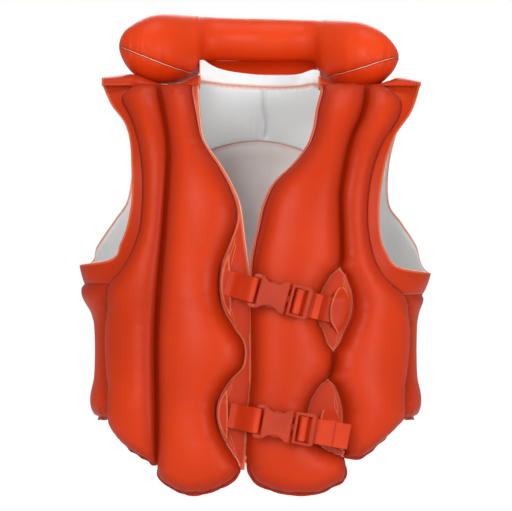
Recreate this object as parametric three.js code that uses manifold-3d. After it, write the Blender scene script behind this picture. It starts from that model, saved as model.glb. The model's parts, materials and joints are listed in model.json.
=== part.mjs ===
// Child's inflatable swim vest, closed at the front by two side-release buckles.
// Millimetres, +Z up, front facing -Y, +X towards the wearer's left.
// The origin is midway between the undersides of the two shoulder flanges.
import * as THREE from "three";
import { mergeVertices } from "three/addons/utils/BufferGeometryUtils.js";
import Module from "manifold-3d";

const wasm = await Module();
wasm.setup();

// ---- driving dimensions ----
const HALF_DEPTH = 82; // weld surface, front to back
const REF_HALF_WIDTH = 150; // weld surface at the waist
const SQUARENESS = 2.3; // exponent of the superelliptic body section
const ROOF = 128; // height over which front and back lean in to the shoulder
const CREST = 8; // the pattern's heights count from this far above the shoulder rests
const FILM = 0.8; // two welded layers of vinyl film
const GAP = 0.3; // between touching pieces
const LAYER = 0.7; // from the weld surface to the film over it
const UNDER = 2.2; // and to the lining under it
const SEAM = 1.2; // half the width of a weld line
const FULLNESS = 0.42; // rise of a blown tube over its width
const TALLEST = 31; // highest rise of a tube over the weld surface
const ROUND_END = 26; // length over which a tube closes to its end
const LINING_SHARE = 0.45; // rise inwards over rise outwards
const STRAP_WIDTH = 25;
const STRAP_THICK = 1;
const BUCKLE_Y = -117.5; // middle plane of both buckles

// ---- colours ----
const vinyl = { color: 0xe8401c, roughness: 0.38, metalness: 0 };
const white = { color: 0xe6e8e6, roughness: 0.45, metalness: 0 };
const moulded = { color: 0xd8452a, roughness: 0.5, metalness: 0 };
const clear = { color: 0xe9e4da, roughness: 0.35, metalness: 0 };

const vest = new THREE.Group();

function add(name, geometry, look, parent = vest) {
  const mesh = new THREE.Mesh(geometry, new THREE.MeshStandardMaterial(look));
  mesh.name = name;
  parent.add(mesh);
  return mesh;
}

// ---- booleans ----
function solid(geometry) {
  const bare = geometry.index ? geometry.toNonIndexed() : geometry.clone();
  for (const key of Object.keys(bare.attributes)) {
    if (key !== "position") bare.deleteAttribute(key);
  }
  const merged = mergeVertices(bare, 1e-3);
  return new wasm.Manifold(
    new wasm.Mesh({
      numProp: 3,
      vertProperties: merged.attributes.position.array,
      triVerts: new Uint32Array(merged.index.array),
    }),
  );
}

function geometryOf(manifold) {
  const mesh = manifold.getMesh();
  const places = new Float32Array(mesh.numVert * 3);
  for (let i = 0; i < mesh.numVert; i++) {
    places.set(mesh.vertProperties.subarray(i * mesh.numProp, i * mesh.numProp + 3), i * 3);
  }
  return new THREE.BufferGeometry()
    .setAttribute("position", new THREE.BufferAttribute(places, 3))
    .setIndex(new THREE.BufferAttribute(mesh.triVerts, 1));
}

function join(...geometries) {
  return geometryOf(geometries.map(solid).reduce((whole, piece) => whole.add(piece)));
}

function cut(geometry, ...tools) {
  return geometryOf(tools.map(solid).reduce((whole, tool) => whole.subtract(tool), solid(geometry)));
}

// ---- curves through a few points ----
// points are [t, value, ...]; the result gives the value at any t.
function curve(points) {
  const sorted = [...points].sort((p, q) => p[0] - q[0]);
  return (t) => {
    if (t <= sorted[0][0]) return sorted[0][1];
    const last = sorted.length - 1;
    if (t >= sorted[last][0]) return sorted[last][1];
    const i = sorted.findIndex((p) => p[0] > t) - 1;
    const [t0, v0] = sorted[i];
    const [t1, v1] = sorted[i + 1];
    const slope = (k) => {
      const a = sorted[Math.max(0, k - 1)];
      const b = sorted[Math.min(last, k + 1)];
      return (b[1] - a[1]) / (b[0] - a[0]);
    };
    const h = t1 - t0;
    const u = (t - t0) / h;
    return (
      v0 * (2 * u ** 3 - 3 * u ** 2 + 1) +
      v1 * (3 * u ** 2 - 2 * u ** 3) +
      h * slope(i) * (u ** 3 - 2 * u ** 2 + u) +
      h * slope(i + 1) * (u ** 3 - u ** 2)
    );
  };
}

const mix = (a, b, t) => a + (b - a) * t;

// ---- the weld surface, wrapped round the body ----
const halfWidth = curve([
  [-420, 150], [-345, 151], [-300, 147], [-250, 147], [-232, 151],
  [-215, 164], [-195, 175], [-180, 178], [-120, 179], [0, 182],
]);

function halfDepth(z) {
  if (z <= -ROOF) return HALF_DEPTH;
  return HALF_DEPTH * Math.sqrt(Math.max(0, 1 - ((z + ROOF) / ROOF) ** 2));
}

// One quarter of the section, as rows of distance round from the front centre, x and y,
// the last two on the unit shape.
const QUARTER = [];
{
  const steps = 240;
  let round = 0;
  for (let i = 0; i <= steps; i++) {
    const angle = (i / steps) * (Math.PI / 2);
    const x = Math.sin(angle) ** (2 / SQUARENESS);
    const y = Math.cos(angle) ** (2 / SQUARENESS);
    if (i) {
      const before = QUARTER[i - 1];
      round += Math.hypot((x - before[1]) * REF_HALF_WIDTH, (y - before[2]) * HALF_DEPTH);
    }
    QUARTER.push([round, x, y]);
  }
}
const QUARTER_LENGTH = QUARTER[QUARTER.length - 1][0];
const HALF_ROUND = 2 * QUARTER_LENGTH;

function lookUp(table, key, from, to) {
  const i = Math.min(table.length - 1, Math.max(1, table.findIndex((row) => row[from] >= key)));
  const t = (key - table[i - 1][from]) / (table[i][from] - table[i - 1][from]);
  return mix(table[i - 1][to], table[i][to], Math.min(1, Math.max(0, t)));
}

// Distance round the body of a place seen at x from the front, or on the back.
function onFront(x, z) {
  return Math.sign(x) * lookUp(QUARTER, Math.min(1, Math.abs(x) / halfWidth(z)), 1, 0);
}
const onBack = (x, z) => HALF_ROUND - onFront(x, z);

function weldPoint(s, z) {
  const turn = ((s % (2 * HALF_ROUND)) + 2 * HALF_ROUND) % (2 * HALF_ROUND);
  const side = turn <= HALF_ROUND ? 1 : -1;
  const half = side > 0 ? turn : 2 * HALF_ROUND - turn;
  const front = half <= QUARTER_LENGTH;
  const along = front ? half : HALF_ROUND - half;
  const x = lookUp(QUARTER, along, 0, 1);
  const y = lookUp(QUARTER, along, 0, 2);
  return new THREE.Vector3(side * x * halfWidth(z), (front ? -y : y) * halfDepth(z), z);
}

function outward(s, z) {
  const step = 1.5;
  const round = weldPoint(s + step, z).sub(weldPoint(s - step, z));
  const up = weldPoint(s, z + step).sub(weldPoint(s, z - step));
  return round.cross(up).normalize();
}

// ---- sheets on the weld surface ----
// place(u, v) gives [s, z]; low(u, v) and high(u, v) are distances out of the weld surface.
// u and v run from 0 to 1.
function sheet(columns, rows, place, low, high) {
  const places = [];
  const faces = [];
  const grid = (i, j, layer) => (layer * (rows + 1) + j) * (columns + 1) + i;
  for (const height of [low, high]) {
    for (let j = 0; j <= rows; j++) {
      for (let i = 0; i <= columns; i++) {
        const [s, z] = place(i / columns, j / rows);
        const point = weldPoint(s, z).addScaledVector(outward(s, z), height(i / columns, j / rows));
        places.push(point.x, point.y, point.z);
      }
    }
  }
  const quad = (a, b, c, d) => faces.push(a, b, c, a, c, d);
  for (let j = 0; j < rows; j++) {
    for (let i = 0; i < columns; i++) {
      quad(grid(i, j, 1), grid(i + 1, j, 1), grid(i + 1, j + 1, 1), grid(i, j + 1, 1));
      quad(grid(i, j, 0), grid(i, j + 1, 0), grid(i + 1, j + 1, 0), grid(i + 1, j, 0));
    }
  }
  for (let i = 0; i < columns; i++) {
    quad(grid(i, 0, 0), grid(i + 1, 0, 0), grid(i + 1, 0, 1), grid(i, 0, 1));
    quad(grid(i, rows, 0), grid(i, rows, 1), grid(i + 1, rows, 1), grid(i + 1, rows, 0));
  }
  for (let j = 0; j < rows; j++) {
    quad(grid(0, j, 0), grid(0, j, 1), grid(0, j + 1, 1), grid(0, j + 1, 0));
    quad(grid(columns, j, 0), grid(columns, j + 1, 0), grid(columns, j + 1, 1), grid(columns, j, 1));
  }
  const geometry = new THREE.BufferGeometry()
    .setAttribute("position", new THREE.Float32BufferAttribute(places, 3))
    .setIndex(faces);
  return solid(geometry).volume() < 0 ? flipped(geometry) : geometry;
}

function flipped(geometry) {
  const index = geometry.index.array;
  for (let i = 0; i < index.length; i += 3) [index[i + 1], index[i + 2]] = [index[i + 2], index[i + 1]];
  return geometry;
}

// A tube between two seams, as its outer shell and its lining. Heights go from bottom to top.
// u follows a half turn across the tube, so its cross-section is half an ellipse.
function tube(left, right, bottom, top, options = {}) {
  const { tallest = TALLEST, rows = 12, lap = [0, 0] } = options;
  const columns = 8;
  const across = (u) => 0.5 - 0.5 * Math.cos(u * Math.PI);
  const rise = (v) => 0.5 - 0.5 * Math.cos(v * Math.PI);
  const topAt = typeof top === "function" ? top : () => top;
  const height = (u, v) => mix(bottom, topAt(across(u)), mix(v, rise(v), 0.75));
  const place = (u, v) => {
    const z = height(u, v);
    return [mix(left(z) + SEAM, right(z) - SEAM, across(u)), z];
  };
  const blown = (u, v) => {
    const z = height(u, v);
    const width = Math.max(0, right(z) - left(z) - 2 * SEAM);
    const toEnd = Math.max(0, Math.min(z - bottom, topAt(across(u)) - z, ROUND_END)) / ROUND_END;
    return Math.min(tallest, FULLNESS * width) * Math.sqrt(1 - (1 - toEnd) ** 2) * Math.sin(u * Math.PI);
  };
  return {
    shell: sheet(columns, rows, place, () => LAYER, (u, v) => LAYER + FILM + blown(u, v)),
    lining: sheet(
      columns, Math.ceil(0.75 * rows),
      (u, v) => {
        const [s, z] = place(u, v);
        return [s + mix(-lap[0], lap[1], u) * (SEAM + 0.3), z];
      },
      (u, v) => -UNDER - FILM - LINING_SHARE * blown(u, v), () => -UNDER,
    ),
  };
}

// A tube lying across the back between two heights that depend on x.
function crossTube(xFrom, xTo, lower, upper, tallest) {
  const [rows, columns] = [7, 16];
  const swing = (t) => 0.5 - 0.5 * Math.cos(t * Math.PI);
  const place = (u, v) => {
    const x = mix(xFrom, xTo, mix(u, swing(u), 0.75));
    const z = mix(lower(x) + SEAM, upper(x) - SEAM, swing(v));
    return [onBack(x, z), z];
  };
  const blown = (u, v) => {
    const x = mix(xFrom, xTo, mix(u, swing(u), 0.75));
    const width = upper(x) - lower(x) - 2 * SEAM;
    const toEnd = Math.max(0, Math.min(x - xFrom, xTo - x, ROUND_END)) / ROUND_END;
    return Math.min(tallest, FULLNESS * width) * Math.sqrt(1 - (1 - toEnd) ** 2) * Math.sin(v * Math.PI);
  };
  return {
    shell: sheet(columns, rows, place, () => LAYER, (u, v) => LAYER + FILM + blown(u, v)),
    lining: sheet(
      columns, Math.ceil(0.75 * rows), place,
      (u, v) => -UNDER - FILM - LINING_SHARE * blown(u, v), () => -UNDER,
    ),
  };
}

// Flat film between two seams.
function film(left, right, bottom, top, { rows = 10, columns = 2, margin = 1 } = {}) {
  return sheet(
    columns, rows,
    (u, v) => {
      const z = mix(bottom, top, v);
      return [mix(left(z) + margin, right(z) - margin, u), z];
    },
    () => -FILM / 2, () => FILM / 2,
  );
}

const frontSeam = (points) => {
  const x = curve(points);
  return (z) => onFront(x(z), z);
};
const backSeam = (points) => {
  const x = curve(points);
  return (z) => onBack(x(z), z);
};

// ---- seams of the front, as [height, x] ----
const SHOULDER_WELD = -12; // top weld of every front tube
const rightOpeningWeld = frontSeam([
  [-14, -64], [-40, -59], [-65, -53], [-90, -37], [-110, -26], [-130, -19], [-146, -19],
  [-166, -26], [-188, -34], [-212, -36], [-232, -32], [-250, -22], [-264, -13], [-277, -11],
  [-290, -14], [-303, -26], [-322, -37], [-338, -39], [-352, -36], [-368, -28], [-384, -18],
  [-392, -16], [-400, -21], [-408, -33], [-413, -46], [-416, -57],
]);
const rightOpeningEdge = frontSeam([
  [-14, -58], [-48, -55], [-65, -51], [-90, -34], [-110, -23], [-128, -16], [-163, -11],
  [-195, -8], [-230, -7], [-268, -8], [-303, -8], [-323, -10], [-360, -12], [-392, -13],
]);
const rightSeam = frontSeam([
  [-12, -98], [-57, -89], [-83, -87], [-142, -90], [-222, -96], [-367, -97], [-396, -98],
  [-402, -94], [-408, -86], [-413, -76], [-416, -68],
]);
const rightSide = frontSeam([
  [-12, -126], [-16, -132], [-23, -135], [-41, -126], [-58, -120], [-78, -116], [-98, -114],
  [-123, -114], [-148, -116], [-163, -120], [-180, -127], [-193, -135], [-201, -142], [-210, -147],
  [-235, -145], [-320, -143], [-342, -145], [-355, -140], [-363, -134], [-374, -122], [-382, -108],
  [-388, -103],
]);
const leftOpeningWeld = frontSeam([
  [-14, 67], [-33, 62], [-51, 59], [-66, 54], [-77, 47], [-89, 37], [-103, 22], [-113, 15],
  [-130, 8], [-148, 4], [-168, 0], [-185, -2], [-222, -3], [-303, -2], [-320, -4], [-360, -7],
  [-378, -9], [-392, -7], [-401, -3], [-406, 3], [-410, 12], [-413, 22], [-416, 36],
]);
const leftSeam = frontSeam([
  [-12, 110], [-28, 108], [-41, 104], [-58, 96], [-78, 90], [-98, 86], [-118, 83], [-163, 84],
  [-182, 84], [-193, 77], [-206, 69], [-216, 64], [-230, 61], [-245, 62], [-253, 66], [-268, 71],
  [-280, 75], [-290, 75], [-300, 69], [-314, 59], [-326, 53], [-345, 51], [-360, 56], [-372, 70],
  [-380, 84], [-394, 88], [-402, 84], [-408, 76], [-413, 66], [-416, 54],
]);
const leftOuterSeam = frontSeam([
  [-12, 112], [-28, 110], [-41, 106], [-58, 98], [-78, 92], [-98, 88], [-118, 85], [-163, 86],
  [-182, 86], [-200, 90], [-214, 95], [-228, 96], [-240, 94], [-254, 88], [-270, 82], [-285, 77],
  [-300, 75], [-310, 79], [-320, 83], [-334, 86], [-368, 86], [-380, 91],
]);
const leftSide = frontSeam([
  [-12, 130], [-16, 139], [-27, 146], [-41, 143], [-51, 137], [-63, 129], [-75, 123], [-93, 117],
  [-108, 114], [-128, 112], [-148, 112], [-168, 115], [-185, 120], [-198, 128], [-207, 136],
  [-213, 144], [-220, 149], [-235, 147], [-320, 143], [-342, 145], [-350, 138], [-363, 125],
  [-373, 114], [-380, 104],
]);

// ---- seams of the back ----
const BACK_HEM = -368;
const FRONT_HEM = -415.5;
const BACK_TALLEST = 27; // of the two outer back tubes, which carry the valves
const arch = (x) => -61 - 0.0042 * x * x; // under the yoke
const underArch = (from, to) => (u) => arch(mix(from, to, u)) - 2;
const BACK_MIDDLE = 71; // from the centre to the seams between the back tubes
const backMiddle = {
  right: backSeam([[-400, -BACK_MIDDLE], [-100, -BACK_MIDDLE]]),
  left: backSeam([[-400, BACK_MIDDLE], [-100, BACK_MIDDLE]]),
};
const backSidePoints = (side) => [
  [-110, side * 105], [-125, side * 116], [-150, side * 122], [-165, side * 126], [-185, side * 131],
  [-205, side * 137], [-235, side * 136], [-342, side * 139], [-356, side * 125], [-368, side * 112],
];
const backSide = { right: backSeam(backSidePoints(-1)), left: backSeam(backSidePoints(1)) };

// ---- air chambers ----
const chambers = {
  right_front_inner: tube(rightSeam, rightOpeningWeld, FRONT_HEM, SHOULDER_WELD, { rows: 24, lap: [1, 0] }),
  right_front_outer: tube(rightSide, rightSeam, -387, SHOULDER_WELD, {
    rows: 16, tallest: 29, lap: [1, 1],
  }),
  right_side: tube(
    backSide.right, (z) => 2 * HALF_ROUND + rightSide(z),
    -341, -207, { rows: 8, tallest: 15, lap: [0, 1] },
  ),
  left_front_inner: tube(leftOpeningWeld, leftSeam, FRONT_HEM, SHOULDER_WELD, { rows: 24 }),
  left_front_outer: tube(leftOuterSeam, leftSide, -379, SHOULDER_WELD, {
    rows: 18, tallest: 29, lap: [0, 1],
  }),
  left_side: tube(leftSide, backSide.left, -341, -219, { rows: 8, tallest: 15, lap: [1, 0] }),
  back_right: tube(backMiddle.right, backSide.right, BACK_HEM, underArch(-BACK_MIDDLE, -112), {
    rows: 11, tallest: BACK_TALLEST, lap: [1, 0],
  }),
  back_centre: tube(backMiddle.left, backMiddle.right, BACK_HEM, underArch(BACK_MIDDLE, -BACK_MIDDLE), {
    rows: 11, tallest: 30, lap: [1, 1],
  }),
  back_left: tube(backSide.left, backMiddle.left, BACK_HEM, underArch(112, BACK_MIDDLE), {
    rows: 11, tallest: BACK_TALLEST, lap: [0, 1],
  }),
  back_yoke: crossTube(-118, 118, arch, () => SHOULDER_WELD, 22),
};

// The well that a valve stem pushes into.
function well(place, out) {
  return new THREE.CylinderGeometry(6, 6, 14, 16)
    .rotateX(Math.PI / 2)
    .translate(0, 0, -5)
    .applyQuaternion(new THREE.Quaternion().setFromUnitVectors(new THREE.Vector3(0, 0, 1), out))
    .translate(place.x, place.y, place.z);
}
// Two valves stand on the crests of the outer back tubes.
const valveSeats = {};
for (const side of ["right", "left"]) {
  const z = -215;
  const s = (backMiddle[side](z) + backSide[side](z)) / 2;
  const out = outward(s, z);
  const place = weldPoint(s, z).addScaledVector(out, LAYER + FILM + BACK_TALLEST + GAP);
  const chamber = chambers["back_" + side];
  chamber.shell = cut(chamber.shell, well(place, out));
  valveSeats["back_" + side] = [place, out];
}
for (const [name, { shell }] of Object.entries(chambers)) add(name + "_chamber", shell, vinyl);

const linings = {
  right_front_lining: ["right_front_inner", "right_front_outer", "right_side"],
  left_front_lining: ["left_front_outer", "left_side"],
  left_front_inner_lining: ["left_front_inner"],
  back_lining: ["back_right", "back_centre", "back_left"],
  yoke_lining: ["back_yoke"],
};
for (const [name, members] of Object.entries(linings)) {
  const joined = join(...members.map((member) => chambers[member].lining));
  add(name, joined, white);
}

// ---- flat film ----
// A strip between two lines of places, each given as [side of the body, x, z].
function strip(outer, inner, { columns = 2, rows = 30, low = -FILM / 2, high = FILM / 2 } = {}) {
  const line = (points) =>
    new THREE.CatmullRomCurve3(
      points.map(([side, x, z]) => {
        const turn = side === "front" ? onFront(x, z) : onBack(x, z) - (x < 0 ? 2 * HALF_ROUND : 0);
        return new THREE.Vector3(turn, z, 0);
      }),
    );
  const [from, to] = [line(outer), line(inner)];
  return sheet(
    columns, rows,
    (u, v) => {
      const place = from.getPoint(v).lerp(to.getPoint(v), 0.92 * u);
      return [place.x, place.y];
    },
    () => low, () => high,
  );
}

add("right_armhole_flange", strip(
  [
    ["front", -152, -15], ["front", -143, -27], ["front", -129, -51], ["front", -124, -90],
    ["front", -125, -132], ["front", -135, -165], ["front", -151, -184], ["back", -170, -187],
    ["back", -160, -168], ["back", -143, -142], ["back", -129, -118], ["back", -126, -70],
    ["back", -137, -35], ["back", -150, -15],
  ],
  [
    ["front", -136, -16], ["front", -134, -30], ["front", -122, -53], ["front", -115, -90],
    ["front", -117, -135], ["front", -123, -170], ["front", -141, -197], ["back", -170, -205],
    ["back", -141, -197], ["back", -130, -172], ["back", -121, -122], ["back", -119, -75],
    ["back", -128, -35], ["back", -136, -16],
  ],
), vinyl);
add("left_armhole_flange", strip(
  [
    ["front", 163, -15], ["front", 155, -34], ["front", 137, -61], ["front", 124, -100],
    ["front", 122, -140], ["front", 129, -173], ["front", 149, -192], ["back", 172, -194],
    ["back", 162, -168], ["back", 147, -145], ["back", 135, -125], ["back", 135, -85],
    ["back", 147, -40], ["back", 160, -15],
  ],
  [
    ["front", 147, -16], ["front", 145, -36], ["front", 128, -61], ["front", 115, -100],
    ["front", 113, -140], ["front", 119, -180], ["front", 136, -208], ["back", 172, -216],
    ["back", 141, -202], ["back", 130, -172], ["back", 121, -122], ["back", 119, -75],
    ["back", 130, -35], ["back", 142, -16],
  ],
), vinyl);
add("right_opening_flange", film(rightOpeningWeld, rightOpeningEdge, -390, -14, { rows: 34 }), vinyl);
add("left_opening_flange", film((z) => leftOpeningWeld(z) - 6, leftOpeningWeld, -170, -20, {
  rows: 14, columns: 1,
}), vinyl);
add("left_upper_island", film(leftSeam, leftOuterSeam, -298, -194, { rows: 14, margin: 1.6 }), vinyl);
add("left_lower_island", film(leftSeam, leftOuterSeam, -376, -316, { rows: 8, margin: 1.6 }), vinyl);

// A ribbon along a line of points, as a profile; the points run along its middle.
function ribbonOutline(points, thick) {
  const half = thick / 2;
  const sides = [[], []];
  points.forEach(([a, b], i) => {
    const before = points[Math.max(0, i - 1)];
    const after = points[Math.min(points.length - 1, i + 1)];
    const one = new THREE.Vector2(a - before[0], b - before[1]);
    const two = new THREE.Vector2(after[0] - a, after[1] - b);
    if (i === 0) one.copy(two);
    if (i === points.length - 1) two.copy(one);
    const bend = one.normalize().add(two.normalize()).normalize();
    const reach = half / Math.max(0.5, bend.dot(two));
    sides[0].push(new THREE.Vector2(a - bend.y * reach, b + bend.x * reach));
    sides[1].unshift(new THREE.Vector2(a + bend.y * reach, b - bend.x * reach));
  });
  return new THREE.Shape([...sides[0], ...sides[1]]);
}

const ribbon = (points, thick, width) =>
  new THREE.ExtrudeGeometry(ribbonOutline(points, thick), { depth: width, bevelEnabled: false })
    .translate(0, 0, -width / 2);

// A ribbon drawn in the plane of depth and height, lying across the body from one x to another.
const acrossBody = (points, thick, from, to) =>
  new THREE.ExtrudeGeometry(ribbonOutline(points, thick), { depth: to - from, bevelEnabled: false })
    .applyMatrix4(new THREE.Matrix4().set(0, 0, 1, from, 1, 0, 0, 0, 0, 1, 0, 0, 0, 0, 0, 1));

const SHOULDER = [
  [-32, -10.2], [-21, -8.4], [-19, FILM / 2 - CREST], [19, FILM / 2 - CREST], [21, -8.4], [32, -10.2],
];
add("right_shoulder_flange", acrossBody(SHOULDER, FILM, -154, -58), vinyl);
add("left_shoulder_flange", acrossBody(SHOULDER, FILM, 67, 164), vinyl);

// ---- head pillow, hinged on the weld along the back of the neck ----
add("neckline_flange", acrossBody([[34.6, -10.8], [31, -3], [30, 2.6]], FILM, -54, 63), vinyl);
const collar = new THREE.Group();
vest.add(collar);
add("collar_flange", acrossBody([[30, 4.8], [30.4, 9], [31, 13]], FILM, -36, 44), vinyl, collar);

const PILLOW_TILT = THREE.MathUtils.degToRad(28);
// Half the height seen from the front, and the middle of the pillow, by x.
const pillowHalf = curve([
  [-137, 3], [-133, 10], [-124, 21], [-99, 33.5], [-58, 29.8], [-38, 23.5], [4, 21.3],
  [46, 22.7], [66, 28.5], [104, 30.5], [131, 20], [141, 6], [143.5, 3],
]);
const pillowDepth = (x) => pillowHalf(x) / Math.hypot(Math.sin(PILLOW_TILT), 0.6 * Math.cos(PILLOW_TILT));
const pillowRise = (x) => 0.6 * pillowDepth(x);
const pillowY = curve([
  [-137, 20], [-110, 24], [-84, 34], [-60, 52], [-38, 62.5], [4, 60.3],
  [46, 62], [66, 52], [92, 33], [118, 24], [143.5, 20],
]);
const pillowZ = curve([
  [-137, 31], [-124, 29], [-99, 28.8], [-58, 31.7], [-38, 37.5], [4, 38.2], [46, 36],
  [66, 29.5], [104, 25.2], [131, 20.5], [143.5, 21],
]);

// A place on the pillow's section at x, the angle running from its back edge over the top.
function pillowPoint(x, angle) {
  const along = Math.cos(angle) * pillowDepth(x);
  const up = Math.sin(angle) * pillowRise(x);
  return new THREE.Vector3(
    x,
    pillowY(x) + along * Math.cos(PILLOW_TILT) - up * Math.sin(PILLOW_TILT),
    pillowZ(x) + along * Math.sin(PILLOW_TILT) + up * Math.cos(PILLOW_TILT),
  );
}
{
  const stations = 19;
  const around = 16;
  const places = [];
  const faces = [];
  for (let i = 0; i < stations; i++) {
    const t = i / (stations - 1);
    const x = mix(-137, 143.5, mix(t, 0.5 - 0.5 * Math.cos(t * Math.PI), 0.7));
    for (let k = 0; k < around; k++) {
      places.push(...pillowPoint(x, (k / around) * 2 * Math.PI).toArray());
    }
  }
  for (let i = 0; i < stations - 1; i++) {
    for (let k = 0; k < around; k++) {
      const [a, b] = [i * around + k, i * around + ((k + 1) % around)];
      faces.push(a, b, b + around, a, b + around, a + around);
    }
  }
  for (let k = 1; k < around - 1; k++) {
    faces.push(0, k + 1, k);
    const last = (stations - 1) * around;
    faces.push(last, last + k, last + k + 1);
  }
  const pillow = new THREE.BufferGeometry()
    .setAttribute("position", new THREE.Float32BufferAttribute(places, 3))
    .setIndex(faces);
  add("collar_pillow", solid(pillow).volume() < 0 ? flipped(pillow) : pillow, vinyl, collar);
}

// ---- buckles ----
// Each is drawn lying along +X from the fixed end, its width along Y and its thickness along Z.
const box = (x0, x1, y0, y1, z0, z1) =>
  new THREE.BoxGeometry(x1 - x0, y1 - y0, z1 - z0).translate((x0 + x1) / 2, (y0 + y1) / 2, (z0 + z1) / 2);

const HALF_WIDTH_OF_BUCKLE = 17;
const HALF_THICK = 5.3;
const MOUTH = 37; // length of the female
const SOCKET = 12.7; // half the width inside

function plate(outline, thick, bevel) {
  const shape = new THREE.Shape(outline.map(([x, y]) => new THREE.Vector2(x, y)));
  return new THREE.ExtrudeGeometry(shape, {
    depth: thick - 2 * bevel, bevelEnabled: true, bevelThickness: bevel, bevelSize: bevel,
    bevelOffset: -bevel, bevelSegments: 1,
  }).translate(0, 0, -thick / 2 + bevel);
}

function femaleBuckle() {
  const w = HALF_WIDTH_OF_BUCKLE;
  const body = plate(
    [[0, -w + 2], [2, -w], [MOUTH, -w + 0.6], [MOUTH, w - 0.6], [2, w], [0, w - 2]], 2 * HALF_THICK, 1.2,
  );
  const notch = (side) =>
    new THREE.CylinderGeometry(14, 14, 20, 36).rotateX(Math.PI / 2).translate(21, side * 25, 0);
  return cut(
    body,
    box(11, MOUTH + 5, -SOCKET, SOCKET, -3.4, 3.4),
    box(3.2, 7.4, -13.2, 13.2, -9, 9),
    box(-2, 8, -30, 30, 3.6, 9),
    box(-2, 8, -30, 30, -9, -3.6),
    box(-2, 3.3, -13.2, 13.2, 2.2, 9),
    box(-2, 3.3, -13.2, 13.2, -9, -2.2),
    notch(1),
    notch(-1),
  );
}

function maleBuckle() {
  const frame = plate(
    [[38.8, -15.6], [58, -16.4], [60.6, -14], [60.6, 14], [58, 16.4], [38.8, 15.6]], 9.2, 1,
  );
  const opened = cut(
    frame,
    box(42, 46.4, -13.4, 13.4, -9, 9),
    box(49.6, 56, -13.4, 13.4, -9, 9),
    box(46, 50, -13.4, 13.4, 1.8, 9),
    box(46, 50, -13.4, 13.4, -9, -1.8),
    box(55, 62, -13.4, 13.4, -9, -1.4),
  );
  return join(opened, box(13, 40, -3, 3, -2.2, 2.2));
}

function latchArm(side) {
  const outline = [
    [38.2, 9.4], [38.2, 12.2], [27, 12.2], [24.6, 13.1], [19.5, 13.1], [15.5, 11.2], [14.6, 9.6],
    [16.5, 9.2], [20, 9.6],
  ];
  return plate(outline.map(([x, y]) => [x, side * y]), 6, 0.6);
}

// Straps are drawn in the same place, as profiles of length and thickness.
const FIXED_STRAP = [
  [-26, -30.9], [-17, -30.5], [-5.2, -4.6], [-0.6, 3.1], [4.4, 3.1], [5.3, 0], [4.4, -3.2], [0, -3.4],
  [-3.4, -6.8], [-14.6, -32], [-18, -33], [-26, -33],
];
const ROUND_BAR = [
  [56, -2.7], [52.6, -0.6], [51, 2.6], [48, 3.1], [45.2, 2.8], [44.4, 0], [45, -3.6], [47.4, -4.9],
  [62, -5],
];
const ADJUSTER = {
  upper: [[70, -2.6], ...ROUND_BAR, [67.5, -12], [74, -33], [77.4, -37.6], [90, -40.4]],
  lower: [[94, -3.5], [80, -2.6], ...ROUND_BAR, [65.2, -16], [68, -33], [71, -37.2], [83, -39.8]],
};
const strapGeometry = (points) => ribbon(points, STRAP_THICK, STRAP_WIDTH).rotateX(Math.PI / 2);

const BUCKLES = {
  upper: { x: -4.9, z: -212, fall: 14.7 },
  lower: { x: -1.1, z: -341.9, fall: 10 },
};
const patches = {
  right_upper_patch: [rightOpeningWeld, (z) => onFront(-9.5, z), -243, -168, 1.2],
  right_lower_patch: [rightOpeningWeld, (z) => onFront(-13.5, z), -370, -306, 1.2],
  left_upper_patch: [leftSeam, leftOuterSeam, -259, -210, 2.4],
  left_lower_patch: [leftSeam, leftOuterSeam, -373, -332, 2.4],
};
for (const [name, [left, right, bottom, top, margin]] of Object.entries(patches)) {
  const disc = (v) => margin + 3 * (1 - Math.sqrt(1 - (2 * v - 1) ** 2));
  add(name, sheet(
    3, 8,
    (u, v) => {
      const z = mix(bottom, top, v);
      return [mix(left(z) + disc(v), right(z) - disc(v), u), z];
    },
    () => FILM / 2 + GAP, () => FILM / 2 + GAP + FILM,
  ), vinyl);
}

for (const [name, { x, z, fall }] of Object.entries(BUCKLES)) {
  const seat = new THREE.Group();
  // length runs down to the left of the wearer, width up, thickness out to the front
  const turn = THREE.MathUtils.degToRad(fall);
  const basis = new THREE.Matrix4().makeBasis(
    new THREE.Vector3(Math.cos(turn), 0, -Math.sin(turn)),
    new THREE.Vector3(Math.sin(turn), 0, Math.cos(turn)),
    new THREE.Vector3(0, -1, 0),
  );
  seat.quaternion.setFromRotationMatrix(basis);
  seat.position.set(x, BUCKLE_Y, z);
  vest.add(seat);
  add(name + "_female_buckle", femaleBuckle(), moulded, seat);
  add(name + "_male_buckle", maleBuckle(), moulded, seat);
  add(name + "_latch_arm_top", latchArm(1), moulded, seat);
  add(name + "_latch_arm_bottom", latchArm(-1), moulded, seat);
  add(name + "_fixed_strap", strapGeometry(FIXED_STRAP), vinyl, seat);
  add(name + "_adjuster_strap", strapGeometry(ADJUSTER[name]), vinyl, seat);
}

// ---- mouth valves ----
const BORE = 5.6;
const AROUND = 20; // facets of a round valve part
function ring(inner, outer, bottom, top) {
  const outline = [[inner, bottom], [outer, bottom], [outer, top], [inner, top], [inner, bottom]];
  const points = outline.map(([x, y]) => new THREE.Vector2(x, y));
  return new THREE.LatheGeometry(points, AROUND).rotateX(Math.PI / 2);
}
const disc = (radius, bottom, top) =>
  new THREE.CylinderGeometry(radius, radius, top - bottom, AROUND)
    .rotateX(Math.PI / 2)
    .translate(0, 0, (bottom + top) / 2);

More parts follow.
